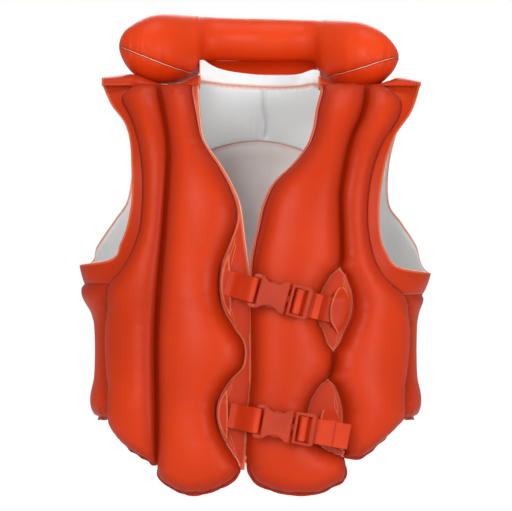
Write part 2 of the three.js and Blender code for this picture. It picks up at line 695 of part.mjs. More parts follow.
// position is where the base meets the film, normal the way out of it.
function valve(name, parent, position, normal) {
  const seat = new THREE.Group();
  seat.quaternion.setFromUnitVectors(new THREE.Vector3(0, 0, 1), normal.clone().normalize());
  seat.position.copy(position);
  parent.add(seat);
  add(name + "_valve_base", join(ring(BORE, 11, 0, 1), ring(BORE, 7.4, 0.5, 3.4)), clear, seat);
  const lug = box(5.5, 8.9, -2.2, 2.2, 10.6, 12.8);
  const stem = join(ring(2.6, 5.2, -3, 13), ring(2.6, 6.4, 10.4, 13), lug);
  add(name + "_valve_stem", stem, clear, seat);
  const cap = join(disc(6.4, 13.4, 15.3), disc(2, 11.4, 13.6), box(4, 8.9, -2.2, 2.2, 13.4, 15.2));
  add(name + "_valve_cap", cap, clear, seat);
}

for (const [name, seat] of Object.entries(valveSeats)) valve(name, vest, ...seat);
{
  const x = 4;
  const angle = THREE.MathUtils.degToRad(-50);
  const out = new THREE.Vector3(0, Math.cos(angle) / pillowDepth(x), Math.sin(angle) / pillowRise(x))
    .applyAxisAngle(new THREE.Vector3(1, 0, 0), PILLOW_TILT)
    .normalize();
  const place = pillowPoint(x, angle).addScaledVector(out, 4 * GAP);
  const pillow = collar.getObjectByName("collar_pillow");
  pillow.geometry = cut(pillow.geometry, well(place, out));
  valve("collar", collar, place, out);
}

vest.position.z = CREST;

export default vest;
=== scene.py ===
"""The looks of a child's inflatable swim vest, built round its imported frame.

The pattern and the shapes are in millimetres; mesh_object turns them into metres.
"""
import json
import math

import bmesh
import bpy
import numpy as np
from mathutils import Matrix, Vector


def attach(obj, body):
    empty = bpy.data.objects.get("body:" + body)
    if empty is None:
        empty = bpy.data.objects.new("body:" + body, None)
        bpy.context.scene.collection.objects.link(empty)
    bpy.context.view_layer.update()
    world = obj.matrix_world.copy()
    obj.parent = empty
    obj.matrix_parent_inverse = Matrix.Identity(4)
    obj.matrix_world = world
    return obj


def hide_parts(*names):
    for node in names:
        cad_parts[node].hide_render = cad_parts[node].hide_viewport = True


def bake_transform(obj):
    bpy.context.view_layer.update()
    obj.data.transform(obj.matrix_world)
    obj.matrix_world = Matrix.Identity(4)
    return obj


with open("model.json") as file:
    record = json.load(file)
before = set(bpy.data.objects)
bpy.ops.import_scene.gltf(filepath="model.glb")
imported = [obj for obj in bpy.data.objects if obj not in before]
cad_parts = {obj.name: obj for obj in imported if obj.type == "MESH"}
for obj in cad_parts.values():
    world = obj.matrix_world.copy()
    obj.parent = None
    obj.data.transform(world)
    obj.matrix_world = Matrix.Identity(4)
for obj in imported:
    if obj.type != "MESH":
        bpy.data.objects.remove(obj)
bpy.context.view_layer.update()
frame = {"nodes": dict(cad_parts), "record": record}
MM = 0.001

# ---------------------------------------------------------------- pattern
HALF_DEPTH = 82.0
REF_HALF_WIDTH = 150.0
SQUARENESS = 2.3
ROOF = 128.0
WELD = 1.3  # half the width of a weld line
HALF_FILM = 0.4  # half the thickness of two welded films
CREST = 8.0  # the pattern counts heights from this far above the shoulder rests


def curve(points):
    """A smooth function through a few (place, value) pairs."""
    points = sorted(points)
    t = np.array([p[0] for p in points], float)
    v = np.array([p[1] for p in points], float)
    slope = np.empty_like(v)
    slope[1:-1] = (v[2:] - v[:-2]) / (t[2:] - t[:-2])
    slope[0], slope[-1] = (v[1] - v[0]) / (t[1] - t[0]), (v[-1] - v[-2]) / (t[-1] - t[-2])

    def at(x):
        x = np.clip(np.asarray(x, float), t[0], t[-1])
        i = np.clip(np.searchsorted(t, x, side="right") - 1, 0, len(t) - 2)
        h = t[i + 1] - t[i]
        u = (x - t[i]) / h
        return (
            v[i] * (2 * u**3 - 3 * u**2 + 1)
            + v[i + 1] * (3 * u**2 - 2 * u**3)
            + h * slope[i] * (u**3 - 2 * u**2 + u)
            + h * slope[i + 1] * (u**3 - u**2)
        )

    return at


half_width = curve([
    (-420, 150), (-372, 154), (-345, 158), (-325, 158), (-300, 152), (-250, 152),
    (-232, 157), (-215, 169), (-195, 176), (-180, 178), (-120, 179), (0, 182),
])


def half_depth(z):
    z = np.asarray(z, float)
    lean = np.sqrt(np.clip(1 - ((z + ROOF) / ROOF) ** 2, 0, 1))
    return HALF_DEPTH * np.where(z <= -ROOF, 1.0, lean)


_angle = np.linspace(0, math.pi / 2, 241)
_qx = np.sin(_angle) ** (2 / SQUARENESS)
_qy = np.clip(np.cos(_angle), 0, 1) ** (2 / SQUARENESS)
_round = np.concatenate([[0], np.cumsum(np.hypot(np.diff(_qx) * REF_HALF_WIDTH,
                                                 np.diff(_qy) * HALF_DEPTH))])
QUARTER = float(_round[-1])
HALF_ROUND = 2 * QUARTER


def on_front(x, z):
    return np.sign(x) * np.interp(np.minimum(1, np.abs(x) / half_width(z)), _qx, _round)


def on_back(x, z):
    return HALF_ROUND - on_front(x, z)


def weld_point(s, z):
    """The surface on which the films are welded, wrapped round the body."""
    s, z = np.broadcast_arrays(np.asarray(s, float), np.asarray(z, float))
    turn = np.mod(s, 2 * HALF_ROUND)
    side = np.where(turn <= HALF_ROUND, 1.0, -1.0)
    half = np.where(turn <= HALF_ROUND, turn, 2 * HALF_ROUND - turn)
    front = half <= QUARTER
    along = np.where(front, half, HALF_ROUND - half)
    x = np.interp(along, _round, _qx)
    y = np.interp(along, _round, _qy)
    return np.stack([side * x * half_width(z), np.where(front, -y, y) * half_depth(z), z], -1)


def outward(s, z):
    across = weld_point(s + 2, z) - weld_point(s - 2, z)
    up = weld_point(s, z + 2) - weld_point(s, z - 2)
    n = np.cross(across, up)
    return n / np.maximum(1e-9, np.linalg.norm(n, axis=-1, keepdims=True))


def on_body(s, z, h):
    return weld_point(s, z) + outward(s, z) * np.asarray(h)[..., None]


def front_seam(*points):
    x = curve(points)
    return lambda z: on_front(x(z), z)


def back_seam(*points):
    x = curve(points)
    return lambda z: on_back(x(z), z)


SHOULDER_WELD = -7.5
FRONT_HEM = -416.0
right_opening_weld = front_seam(
    (-14, -64), (-40, -59), (-65, -53), (-90, -37), (-110, -26), (-130, -19), (-146, -19),
    (-166, -26), (-188, -34), (-212, -36), (-232, -32), (-250, -22), (-264, -13), (-277, -11),
    (-290, -14), (-303, -26), (-322, -37), (-338, -39), (-352, -36), (-368, -28), (-384, -18),
    (-392, -16), (-400, -21), (-408, -33), (-413, -46), (-416, -57),
)
right_opening_edge = front_seam(
    (-14, -58), (-48, -55), (-65, -51), (-90, -34), (-110, -23), (-128, -16), (-163, -11),
    (-188, -7.5), (-210, -5), (-230, -4.2), (-268, -4.6), (-303, -4.6), (-323, -6.5), (-360, -9.5),
    (-392, -12),
)
right_seam = front_seam(
    (-12, -98), (-57, -89), (-83, -87), (-142, -90), (-222, -96), (-367, -97), (-396, -98),
    (-402, -94), (-408, -86), (-413, -76), (-416, -68),
)
right_side = front_seam(
    (-12, -126), (-16, -132), (-23, -135), (-41, -126), (-58, -120), (-78, -116), (-98, -114),
    (-123, -114), (-148, -116), (-163, -120), (-180, -127), (-193, -135), (-201, -142), (-210, -147),
    (-235, -145), (-320, -143), (-342, -145), (-355, -140), (-363, -134), (-374, -122), (-382, -108),
    (-388, -103),
)
left_opening_weld = front_seam(
    (-14, 67), (-33, 62), (-51, 59), (-66, 54), (-77, 47), (-89, 37), (-103, 22), (-113, 15),
    (-130, 8), (-148, 4), (-168, -0.5), (-185, -3.5), (-222, -5), (-303, -5), (-320, -7), (-360, -9.5),
    (-378, -10), (-392, -7), (-401, -3), (-406, 3), (-410, 12), (-413, 22), (-416, 36),
)
left_seam = front_seam(
    (-12, 110), (-28, 108), (-41, 104), (-58, 96), (-78, 90), (-98, 86), (-118, 83), (-163, 84),
    (-182, 84), (-193, 77), (-206, 69), (-216, 64), (-230, 61), (-245, 62), (-253, 66), (-268, 71),
    (-280, 75), (-290, 75), (-300, 69), (-314, 59), (-326, 53), (-345, 51), (-360, 56), (-372, 70),
    (-380, 84), (-394, 88), (-402, 84), (-408, 76), (-413, 66), (-416, 54),
)
left_outer_seam = front_seam(
    (-12, 112), (-28, 110), (-41, 106), (-58, 98), (-78, 92), (-98, 88), (-118, 85), (-163, 86),
    (-182, 86), (-200, 90), (-214, 95), (-228, 96), (-240, 94), (-254, 88), (-270, 82), (-285, 77),
    (-300, 75), (-310, 79), (-320, 83), (-334, 86), (-368, 86), (-380, 91),
)
left_side = front_seam(
    (-12, 130), (-16, 139), (-27, 146), (-41, 143), (-51, 137), (-63, 129), (-75, 123), (-93, 117),
    (-108, 114), (-128, 112), (-148, 112), (-168, 115), (-185, 120), (-198, 128), (-207, 136),
    (-213, 144), (-220, 149), (-235, 147), (-320, 143), (-342, 145), (-350, 138), (-363, 125),
    (-373, 114), (-380, 104),
)


def meeting(first, second, near=7.0, far=13.0):
    """Two seams that run together where they are close."""
    def share(z):
        a, b = first(z), second(z)
        return a, b, (1 - np.clip((b - a - near) / (far - near), 0, 1)) * (b - a) / 2

    return (lambda z: share(z)[0] + share(z)[2]), (lambda z: share(z)[1] - share(z)[2])


left_seam, left_outer_seam = meeting(left_seam, left_outer_seam)
BACK_HEM = -368.0


def arch(x):
    return -61 - 0.0042 * np.asarray(x, float) ** 2


middle_right, middle_left = back_seam((-400, -71), (-100, -71)), back_seam((-400, 71), (-100, 71))
_side_x = [
    (-110, 105), (-125, 116), (-150, 122), (-165, 126), (-185, 131),
    (-205, 137), (-235, 136), (-342, 139), (-356, 125), (-368, 112),
]
back_side_right = back_seam(*[(z, -x) for z, x in _side_x])
back_side_left = back_seam(*_side_x)


# ---------------------------------------------------------------- meshes
def mesh_object(name, points_mm, faces, material_of=None, materials=(), lift=CREST):
    mesh = bpy.data.meshes.new(name)
    mesh.from_pydata(((np.asarray(points_mm) + [0, 0, lift]) * MM).tolist(), [], faces)
    mesh.validate()
    for m in materials:
        mesh.materials.append(m)
    if material_of is not None:
        mesh.polygons.foreach_set("material_index", np.asarray(material_of, np.int32))
    mesh.polygons.foreach_set("use_smooth", np.ones(len(mesh.polygons), bool))
    mesh.update()
    obj = bpy.data.objects.new(name, mesh)
    bpy.context.scene.collection.objects.link(obj)
    return obj


def store(obj, name, values):
    attribute = obj.data.attributes.new(name, "FLOAT", "POINT")
    attribute.data.foreach_set("value", np.asarray(values, np.float32))


def grid_faces(columns, rows, offset=0, turned=False):
    i, j = np.meshgrid(np.arange(columns - 1), np.arange(rows - 1), indexing="ij")
    a = (i * rows + j + offset).ravel()
    quads = np.stack([a, a + rows, a + rows + 1, a + 1], -1)
    return quads[:, ::-1] if turned else quads


def blown(flat, inside):
    """Solves for the smooth pillow shape over a flat grid, nought on every edge.

    Its square root is a tube's round section.
    """
    columns, rows = inside.shape
    p = flat.reshape(-1, 2)
    quads = grid_faces(columns, rows)
    tri = np.concatenate([quads[:, [0, 1, 2]], quads[:, [0, 2, 3]]])
    ends, weights = [], []
    area = np.zeros(len(p))
    for k in range(3):
        a, b, c = tri[:, k], tri[:, (k + 1) % 3], tri[:, (k + 2) % 3]
        u, v = p[b] - p[a], p[c] - p[a]
        cross = np.abs(u[:, 0] * v[:, 1] - u[:, 1] * v[:, 0])
        cot = (u * v).sum(1) / np.maximum(cross, 1e-6)
        ends.append(np.stack([b, c], 1))
        weights.append(np.clip(cot, -4, 50) / 2)
        area += np.bincount(a, cross / 6, len(p))
    ends, weights = np.concatenate(ends), np.concatenate(weights)
    free = inside.ravel()
    i, j = np.concatenate([ends[:, 0], ends[:, 1]]), np.concatenate([ends[:, 1], ends[:, 0]])
    w = np.concatenate([weights, weights])
    diagonal = np.bincount(i, w, len(p)) + 1e-9

    def apply(x):
        return (diagonal * x - np.bincount(i, w * x[j], len(p))) * free

    x = np.zeros(len(p))
    r = 2 * area * free
    guess = np.where(free, 1 / diagonal, 0)
    y = guess * r
    d = y.copy()
    old = r @ y
    for _ in range(700):
        ad = apply(d)
        step = old / max(d @ ad, 1e-12)
        x += step * d
        r -= step * ad
        y = guess * r
        new = r @ y
        if new < 1e-6:
            break
        d = y + (new / old) * d
        old = new
    return np.clip(x, 0, None).reshape(columns, rows)


def edge_ring(grid):
    """The places round a grid's outer edge, in order."""
    return np.concatenate([grid[:, 0], grid[-1, 1:], grid[-2::-1, -1], grid[0, -2:0:-1]])


def two_films(name, top, under, materials):
    """Two grids of places, one facing out and one in, joined by a cut edge round their outside."""
    columns, rows = top.shape[:2]
    count = columns * rows
    faces = [grid_faces(columns, rows), grid_faces(columns, rows, count, True)]
    ring = edge_ring(np.arange(count).reshape(columns, rows))
    following = np.roll(ring, -1)
    faces.append(np.stack([ring, ring + count, following + count, following], -1))
    kinds = np.concatenate([np.full(len(f), k) for k, f in enumerate(faces)])
    points = np.concatenate([top.reshape(-1, 3), under.reshape(-1, 3)])
    return mesh_object(name, points, np.concatenate(faces).tolist(), kinds, materials)


def puckers(flat, seed, reach=11.0, wave=15.0):
    """Small folds that run in from the weld, strongest where it curves, and the distance to the weld."""
    ring = edge_ring(flat)
    step = np.linalg.norm(np.diff(ring, axis=0, append=ring[:1]), axis=1)
    along = np.concatenate([[0], np.cumsum(step)[:-1]])
    length = step.sum()
    place = np.arange(0, length, 1.5)
    line = np.stack([np.interp(place, along, ring[:, k]) for k in (0, 1)], 1)
    ahead, behind = np.roll(line, -8, 0) - line, line - np.roll(line, 8, 0)
    turn = np.abs(np.arctan2(
        ahead[:, 0] * behind[:, 1] - ahead[:, 1] * behind[:, 0], (ahead * behind).sum(1)
    ))
    kernel = np.ones(17) / 17
    turn = np.convolve(np.concatenate([turn[-8:], turn, turn[:8]]), kernel, "valid")
    rng = np.random.default_rng(seed)
    phase = np.cumsum(rng.normal(0, 0.22, len(place)))
    count = max(1, round(length / wave))
    folds = np.sin(2 * math.pi * count * place / length + phase) + 0.55 * np.sin(
        2 * math.pi * round(1.7 * count) * place / length + 1.3 * phase + 2
    )
    folds = np.sign(folds) * np.abs(folds) ** 1.2
    amount = np.clip(0.12 + 2.2 * turn, 0, 1.1) * folds
    points = flat.reshape(-1, 2)
    near = np.empty(len(points), int)
    distance = np.empty(len(points))
    for first in range(0, len(points), 2000):
        gap = ((points[first:first + 2000, None, :] - line[None]) ** 2).sum(-1)
        near[first:first + 2000] = gap.argmin(1)
        distance[first:first + 2000] = np.sqrt(gap.min(1))
    fall = np.clip(distance - WELD, 0, None)
    push = amount[near] * (fall / (fall + 2.5)) * np.exp(-fall / reach)
    return push.reshape(flat.shape[:2]), distance.reshape(flat.shape[:2])


def bag(name, flat, outer, inner, materials, seed, tallest, groove=None, well=None):
    """Two films welded round their edge and blown up.

    flat is a grid of pattern places whose outer two lines are the weld.
    """
    columns, rows = flat.shape[:2]
    inside = np.zeros((columns, rows), bool)
    inside[2:-2, 2:-2] = True
    rise = np.sqrt(blown(flat, inside))
    push, distance = puckers(flat, seed)
    swell = 1 + 0.02 * np.sin(flat[..., 1] / 23 + seed) + 0.015 * np.sin(flat[..., 0] / 17 + 2 * seed)
    high = (outer(flat) if callable(outer) else outer) * rise * swell
    high = tallest * np.tanh(high / tallest * 1.02) + push * np.clip(rise / 4, 0, 1)
    low = inner * rise + 0.8 * np.roll(push, 3, 1) * np.clip(rise / 4, 0, 1)
    if groove is not None:
        low = low - groove(flat) * np.clip(rise / 4, 0, 1)
    if well is not None:
        high = high - well(flat)
    top = place_on_body(flat, HALF_FILM + np.maximum(high, 0))
    under = place_on_body(flat, -HALF_FILM - np.maximum(low, 0))
    obj = two_films(name, top, under, materials)
    store(obj, "weld", np.concatenate([distance.ravel(), distance.ravel()]))
    return obj


def spread(count, flat_share=0.0):
    """Places from 0 to 1, closer together near both ends."""
    t = np.linspace(0, 1, count)
    return (1 - flat_share) * (0.5 - 0.5 * np.cos(math.pi * t)) + flat_share * t


def tube_pattern(left, right, bottom, top, columns, rows):
    top_at = top if callable(top) else (lambda u: np.full_like(u, top))
    across = np.concatenate([[0], spread(columns, 0.15), [1]])
    up = np.concatenate([[0], spread(rows, 0.7), [1]])
    u, v = np.meshgrid(across, up, indexing="ij")
    high = top_at(u)
    z = bottom + WELD + (high - bottom - 2 * WELD) * v
    z[:, 0], z[:, -1] = bottom, high[:, -1]
    from_s, to_s = left(z), right(z)
    s = from_s + WELD + np.maximum(to_s - from_s - 2 * WELD, 0.5) * u
    s[0], s[-1] = from_s[0], np.maximum(to_s[-1], from_s[-1] + 2 * WELD)
    return np.stack([s, z], -1)


def cross_pattern(x0, x1, lower, upper, columns, rows):
    along = np.concatenate([[0], spread(columns, 0.6), [1]])
    up = np.concatenate([[0], spread(rows, 0.15), [1]])
    u, v = np.meshgrid(along, up, indexing="ij")
    x = x0 + WELD + (x1 - x0 - 2 * WELD) * u
    x[0], x[-1] = x0, x1
    bottom, top = lower(x), upper(x)
    z = bottom + WELD + np.maximum(top - bottom - 2 * WELD, 0.5) * v
    z[:, 0], z[:, -1] = bottom[:, 0], top[:, -1]
    return np.stack([on_back(x, z), z], -1)[::-1]


def place_on_body(flat, h):
    return on_body(flat[..., 0], flat[..., 1], h)


def strip(name, flat, place, materials, thickness=HALF_FILM, ripple=None, reveal=(0.0, 0.0)):
    """A flat welded film: two faces, a red one outside and a white one inside, and a pale cut edge.

    The white film may stand out past the red one at either side, by reveal.
    """
    columns, rows = flat.shape[:2]
    lift = np.zeros((columns, rows)) if ripple is None else ripple
    top = place(flat, lift + thickness)
    wider = flat.astype(float)
    for side, neighbour, past in ((0, 1, reveal[0]), (-1, -2, reveal[1])):
        away = flat[side] - flat[neighbour]
        wider[side] += past * away / np.maximum(np.linalg.norm(away, axis=-1, keepdims=True), 1e-6)
    obj = two_films(name, top, place(wider, lift - thickness), materials)
    across = np.linspace(0, 1, columns)[:, None] * np.ones(rows)
    wide = np.linalg.norm(np.diff(flat, axis=0), axis=-1).sum(0)
    edge = np.minimum(across, 1 - across) * wide[None]
    store(obj, "weld", np.concatenate([edge.ravel(), edge.ravel()]))
    return obj


# ---------------------------------------------------------------- materials
def shader(name, colour, roughness, **inputs):
    material = bpy.data.materials.new(name)
    material.use_nodes = True
    bsdf = material.node_tree.nodes["Principled BSDF"]
    bsdf.inputs["Base Color"].default_value = (*colour, 1)
    bsdf.inputs["Roughness"].default_value = roughness
    for key, value in inputs.items():
        bsdf.inputs[key.replace("_", " ")].default_value = value
    return material


def ranged(tree, value, low, high, to_low, to_high):
    node = tree.nodes.new("ShaderNodeMapRange")
    for key, number in zip(("From Min", "From Max", "To Min", "To Max"), (low, high, to_low, to_high)):
        node.inputs[key].default_value = number
    tree.links.new(value, node.inputs["Value"])
    return node.outputs["Result"]


def mixed(tree, share, first, second):
    node = tree.nodes.new("ShaderNodeMix")
    node.data_type = "RGBA"
    for socket, key in ((share, 0), (first, 6), (second, 7)):
        tree.links.new(socket, node.inputs[key])
    return node.outputs[2]


def new_group(name, numbers=(), colours=(), outputs=()):
    """An empty shader group with its sockets, and its input and output nodes."""
    group = bpy.data.node_groups.new(name, "ShaderNodeTree")
    for key, kind in [(k, "NodeSocketColor") for k in colours] + [(k, "NodeSocketFloat") for k in numbers]:
        group.interface.new_socket(key, in_out="INPUT", socket_type=kind)
    for key, kind in outputs:
        group.interface.new_socket(key, in_out="OUTPUT", socket_type=kind)
    return group, group.nodes.new("NodeGroupInput").outputs, group.nodes.new("NodeGroupOutput").inputs


def noise(tree, where, scale, detail):
    field = tree.nodes.new("ShaderNodeTexNoise")
    field.inputs["Detail"].default_value = detail
    if isinstance(scale, (int, float)):
        field.inputs["Scale"].default_value = scale
    else:
        tree.links.new(scale, field.inputs["Scale"])
    tree.links.new(where, field.inputs["Vector"])
    return field.outputs["Fac"]


SURFACE = (("Color", "NodeSocketColor"), ("Roughness", "NodeSocketFloat"), ("Normal", "NodeSocketVector"))


def surface_group():
    """Slow changes of tone, a faint orange-peel bump, and changing gloss: every finish starts from it."""
    numbers = ("Cloud Size", "Grain Size", "Bump", "Rough Low", "Rough High")
    group, given, out = new_group("surface", numbers, ("Dark", "Light"), SURFACE)
    where = group.nodes.new("ShaderNodeTexCoord").outputs["Object"]
    tone = ranged(group, noise(group, where, given["Cloud Size"], 3), 0.35, 0.65, 0, 1)
    group.links.new(mixed(group, tone, given["Dark"], given["Light"]), out["Color"])
    gloss = group.nodes.new("ShaderNodeMapRange")
    group.links.new(noise(group, where, 60, 4), gloss.inputs["Value"])
    group.links.new(given["Rough Low"], gloss.inputs["To Min"])
    group.links.new(given["Rough High"], gloss.inputs["To Max"])
    group.links.new(gloss.outputs["Result"], out["Roughness"])
    bump = group.nodes.new("ShaderNodeBump")
    bump.inputs["Distance"].default_value = 0.0006
    group.links.new(given["Bump"], bump.inputs["Strength"])
    group.links.new(noise(group, where, given["Grain Size"], 3), bump.inputs["Height"])
    group.links.new(bump.outputs["Normal"], out["Normal"])
    return group


def weld_group():
    """Where the film was pressed in the welding tool it has another colour, on the tubes' seams a painted
    shade, and beside the weld a deeper colour that is painted shade.
    """
    colours = ("Film", "Painted Shade", "Pressed And Seam Shade")
    group, given, out = new_group("weld_line", (), colours, SURFACE[:1])
    weld = group.nodes.new("ShaderNodeAttribute")
    weld.attribute_name = "weld"
    # the pressed band: a weld line's own colour, and on the tubes and pillow a painted shade in the seam
    near = ranged(group, weld.outputs["Fac"], 1.0, 2.2, 1, 0)
    # painted shade: the colour turns deeper towards the weld over its last 15 mm
    beside = mixed(group, ranged(group, weld.outputs["Fac"], 2.0, 15.0, 1, 0), given["Film"],
                   given["Painted Shade"])
    group.links.new(mixed(group, near, beside, given["Pressed And Seam Shade"]), out["Color"])
    return group


SURFACE_GROUP, WELD_GROUP = surface_group(), weld_group()


def finish(name, dark, light, gloss, cloud=9.0, grain=45.0, bump=0.12, pressed=None, painted_shade=None, **inputs):
    """A material with the surface group, and the weld group where films are joined: a weld line's colour,
    and painted shade beside it.
    """
    material = shader(name, light, gloss[0], **inputs)
    tree = material.node_tree
    bsdf = tree.nodes["Principled BSDF"]
    surface = tree.nodes.new("ShaderNodeGroup")
    surface.node_tree = SURFACE_GROUP
    for key, value in zip(
        ("Dark", "Light", "Cloud Size", "Grain Size", "Bump", "Rough Low", "Rough High"),
        ((*dark, 1), (*light, 1), cloud, grain, bump, *gloss),
    ):
        surface.inputs[key].default_value = value
    colour = surface.outputs["Color"]
    if pressed:
        weld = tree.nodes.new("ShaderNodeGroup")
        weld.node_tree = WELD_GROUP
        weld.inputs["Pressed And Seam Shade"].default_value = (*pressed, 1)
        weld.inputs["Painted Shade"].default_value = (*(painted_shade or light), 1)
        tree.links.new(colour, weld.inputs["Film"])
        colour = weld.outputs["Color"]
    tree.links.new(colour, bsdf.inputs["Base Color"])
    tree.links.new(surface.outputs["Roughness"], bsdf.inputs["Roughness"])
    tree.links.new(surface.outputs["Normal"], bsdf.inputs["Normal"])
    return material


# The dark red of the tubes' and the pillow's weld lines is painted shade at the bottom of their seams.
RED_DARK, RED, RED_SEAM_SHADE = (0.50, 0.030, 0.002), (0.58, 0.037, 0.003), (0.32, 0.016, 0.002)
# painted shade: the deeper red beside the welds, standing partly for shading that the lamps don't give
RED_PAINTED_SHADE = (0.38, 0.021, 0.002)
RED_PRESSED = (0.64, 0.11, 0.045)  # the film where a weld bar has flattened it
GLOSS = (0.34, 0.46)
vinyl = finish("vinyl", RED_DARK, RED, GLOSS, pressed=RED_SEAM_SHADE, painted_shade=RED_PAINTED_SHADE, Specular_IOR_Level=0.15)
# Painted light: the pillow is the same red vinyl as the tubes, made brighter all over to stand for the
# light on it; beside its welds the deeper red is painted shade.
pillow_vinyl_painted_light = finish("pillow_vinyl_painted_light", (0.64, 0.043, 0.004), (0.74, 0.054, 0.006), GLOSS, pressed=RED_SEAM_SHADE,
                      painted_shade=(0.64, 0.043, 0.004), Specular_IOR_Level=0.15)
flat_vinyl = finish("flat_vinyl", (0.45, 0.026, 0.002), (0.53, 0.033, 0.002), GLOSS, pressed=RED_PRESSED,
                    painted_shade=(0.47, 0.029, 0.002), Specular_IOR_Level=0.15)
lining = finish("lining", (0.68, 0.69, 0.69), (0.78, 0.79, 0.79), GLOSS, pressed=(0.70, 0.30, 0.20))
# Painted shade and painted red reflection: the white lining below the arch inside the back is made darker
# and pinker than the lining.
back_lining = finish("back_lining", (0.44, 0.365, 0.345), (0.60, 0.53, 0.51), GLOSS, 14,
                     pressed=(0.74, 0.36, 0.27))
cut_edge = finish("cut_edge", (0.76, 0.42, 0.32), (0.82, 0.56, 0.46), (0.4, 0.5), cloud=60)
webbing = finish("webbing", (0.52, 0.033, 0.004), (0.60, 0.042, 0.006), (0.42, 0.55), 30, 260, 0.25,
                 Specular_IOR_Level=0.2)
moulded = finish("moulded", (0.36, 0.024, 0.004), (0.45, 0.033, 0.006), (0.32, 0.46), 25, 400, 0.15,
                 Specular_IOR_Level=0.25)
clear = finish("clear_vinyl", (0.72, 0.70, 0.64), (0.82, 0.80, 0.74), (0.22, 0.34), 40, 200, 0.08)
BAG = (vinyl, lining, cut_edge)
FLAT = (flat_vinyl, lining, cut_edge)

yoke_top = curve([(-118, -7.5), (-66, -7.5), (-57, -2.5), (-46, -3.2), (-30, -5), (-13, -6.2), (20, -7.5),
                  (44, -6.5),
                  (58, -4.5), (68, -7.5), (118, -7.5)])


def yoke_creases(flat):
    """The white film of the yoke has one deep crease beside its middle and a few small ones below."""
    across, height = HALF_ROUND - flat[..., 0], flat[..., 1]
    deep = 5.0 * np.exp(-(((across - 8 - 1.5 * np.sin(height / 9)) / 1.5) ** 2)) * np.clip((height
        + 60) / 8, 0, 1)
    small = sum(
        a * np.exp(-(((across - c - 0.04 * (height + 60)) / 1.3) ** 2))
        for c, a in ((4.5, 1.6), (1.0, 1.2), (-4.0, 0.8))
    )
    return deep + small * np.clip((-22 - height) / 15, 0, 1)


def under_arch(left, right):
    """The height of the yoke's lower seam, by the share of the way across a tube."""
    def top(u):
        z = np.full_like(u, -90.0)
        for _ in range(8):
            z = arch(weld_point(left(z) + (right(z) - left(z)) * u, z)[..., 0])
        return z

    return top


def yoke_fullness(flat):
    """The yoke is flatter near the neck, where the pillow folds back on it."""
    return 0.6 - 0.27 * np.clip((flat[..., 1] + 58) / 28, 0, 1)


VALVE_HEIGHT = -215.0
WELL_DEPTH, WELL_RADIUS, WELL_RIM = 12, 10.5, 3.5


def valve_well(left, right):
    """Room under a valve's base for its stem to push into the tube."""
    def depth(flat):
        middle = (left(VALVE_HEIGHT) + right(VALVE_HEIGHT)) / 2
        away = np.hypot(flat[..., 0] - middle, flat[..., 1] - VALVE_HEIGHT)
        return WELL_DEPTH * np.clip((WELL_RADIUS - away) / WELL_RIM, 0, 1)

    return depth


WELLS = {
    "back_right_tube": valve_well(middle_right, back_side_right),
    "back_left_tube": valve_well(back_side_left, middle_left),
}

# ---------------------------------------------------------------- air chambers
SIDE_HEM = -341.5
YOKE_SIDE = 118
YOKE_LAP = 1.8  # how far the yoke reaches down past the arch, to close on the tubes below
# The back tubes' white faces carry the painted shade and painted red reflection of back_lining.
BACK_BAG_PAINTED_SHADE = (vinyl, back_lining, cut_edge)


def back_tube(left, right, columns):
    return tube_pattern(left, right, BACK_HEM, under_arch(left, right), columns, 130)


BAGS = {
    # name: (pattern, outer, inner, seed, tallest, nodes it stands for)
    "right_inner_tube": (tube_pattern(right_seam, right_opening_weld, FRONT_HEM, SHOULDER_WELD, 38, 190),
                         0.84, 0.38, 1, 36,
                         ["right_front_inner_chamber", "right_front_lining"]),
    "right_outer_tube": (tube_pattern(right_side, right_seam, -387.5, SHOULDER_WELD, 32, 170), 0.84, 0.38,
                         2, 31,
                         ["right_front_outer_chamber"]),
    "right_side_tube": (tube_pattern(back_side_right, lambda z: 2 * HALF_ROUND + right_side(z), SIDE_HEM,
                                     -206.0, 40, 60),
                        0.36, 0.2, 3, 17, ["right_side_chamber"]),
    "left_inner_tube": (tube_pattern(left_opening_weld, left_seam, FRONT_HEM, SHOULDER_WELD, 38, 190),
                        0.84, 0.38, 4, 36,
                        ["left_front_inner_chamber", "left_front_inner_lining"]),
    "left_outer_tube": (tube_pattern(left_outer_seam, left_side, -380.5, SHOULDER_WELD, 32, 170), 0.84,
                        0.38, 5, 31,
                        ["left_front_outer_chamber", "left_front_lining"]),
    "left_side_tube": (tube_pattern(left_side, back_side_left, SIDE_HEM, -217.0, 40, 60), 0.36, 0.2, 6, 17,
                       ["left_side_chamber"]),
    "back_right_tube": (back_tube(middle_right, back_side_right, 32),
                        0.8, 0.36, 7, 60, ["back_right_chamber", "back_lining"]),
    "back_centre_tube": (back_tube(middle_left, middle_right, 56),
                         0.5, 0.24, 8, 32, ["back_centre_chamber"]),
    "back_left_tube": (back_tube(back_side_left, middle_left, 32),
                       0.8, 0.36, 9, 60, ["back_left_chamber"]),
    "back_yoke": (cross_pattern(-YOKE_SIDE, YOKE_SIDE, lambda x: arch(x) - YOKE_LAP, yoke_top, 200, 40),
                  yoke_fullness, 0.42, 10, 20,
                  ["back_yoke_chamber", "yoke_lining"]),
}
for name, (pattern, outer, inner, seed, tallest, nodes) in BAGS.items():
    skins = BACK_BAG_PAINTED_SHADE if name.startswith("back_") and name != "back_yoke" else BAG
    obj = bag(name, pattern, outer, inner, skins, seed, tallest,
              groove=yoke_creases if name == "back_yoke" else None, well=WELLS.get(name))
    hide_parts(*nodes)
    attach(obj, "vest")


# ---------------------------------------------------------------- flat films
def between(left, right, bottom, top, columns=6, rows=120, margin=0.6):
    u, v = np.meshgrid(np.linspace(0, 1, columns), np.linspace(0, 1, rows), indexing="ij")
    z = bottom + (top - bottom) * v
    s = left(z) + margin + (right(z) - left(z) - 2 * margin) * u
    return np.stack([s, z], -1)


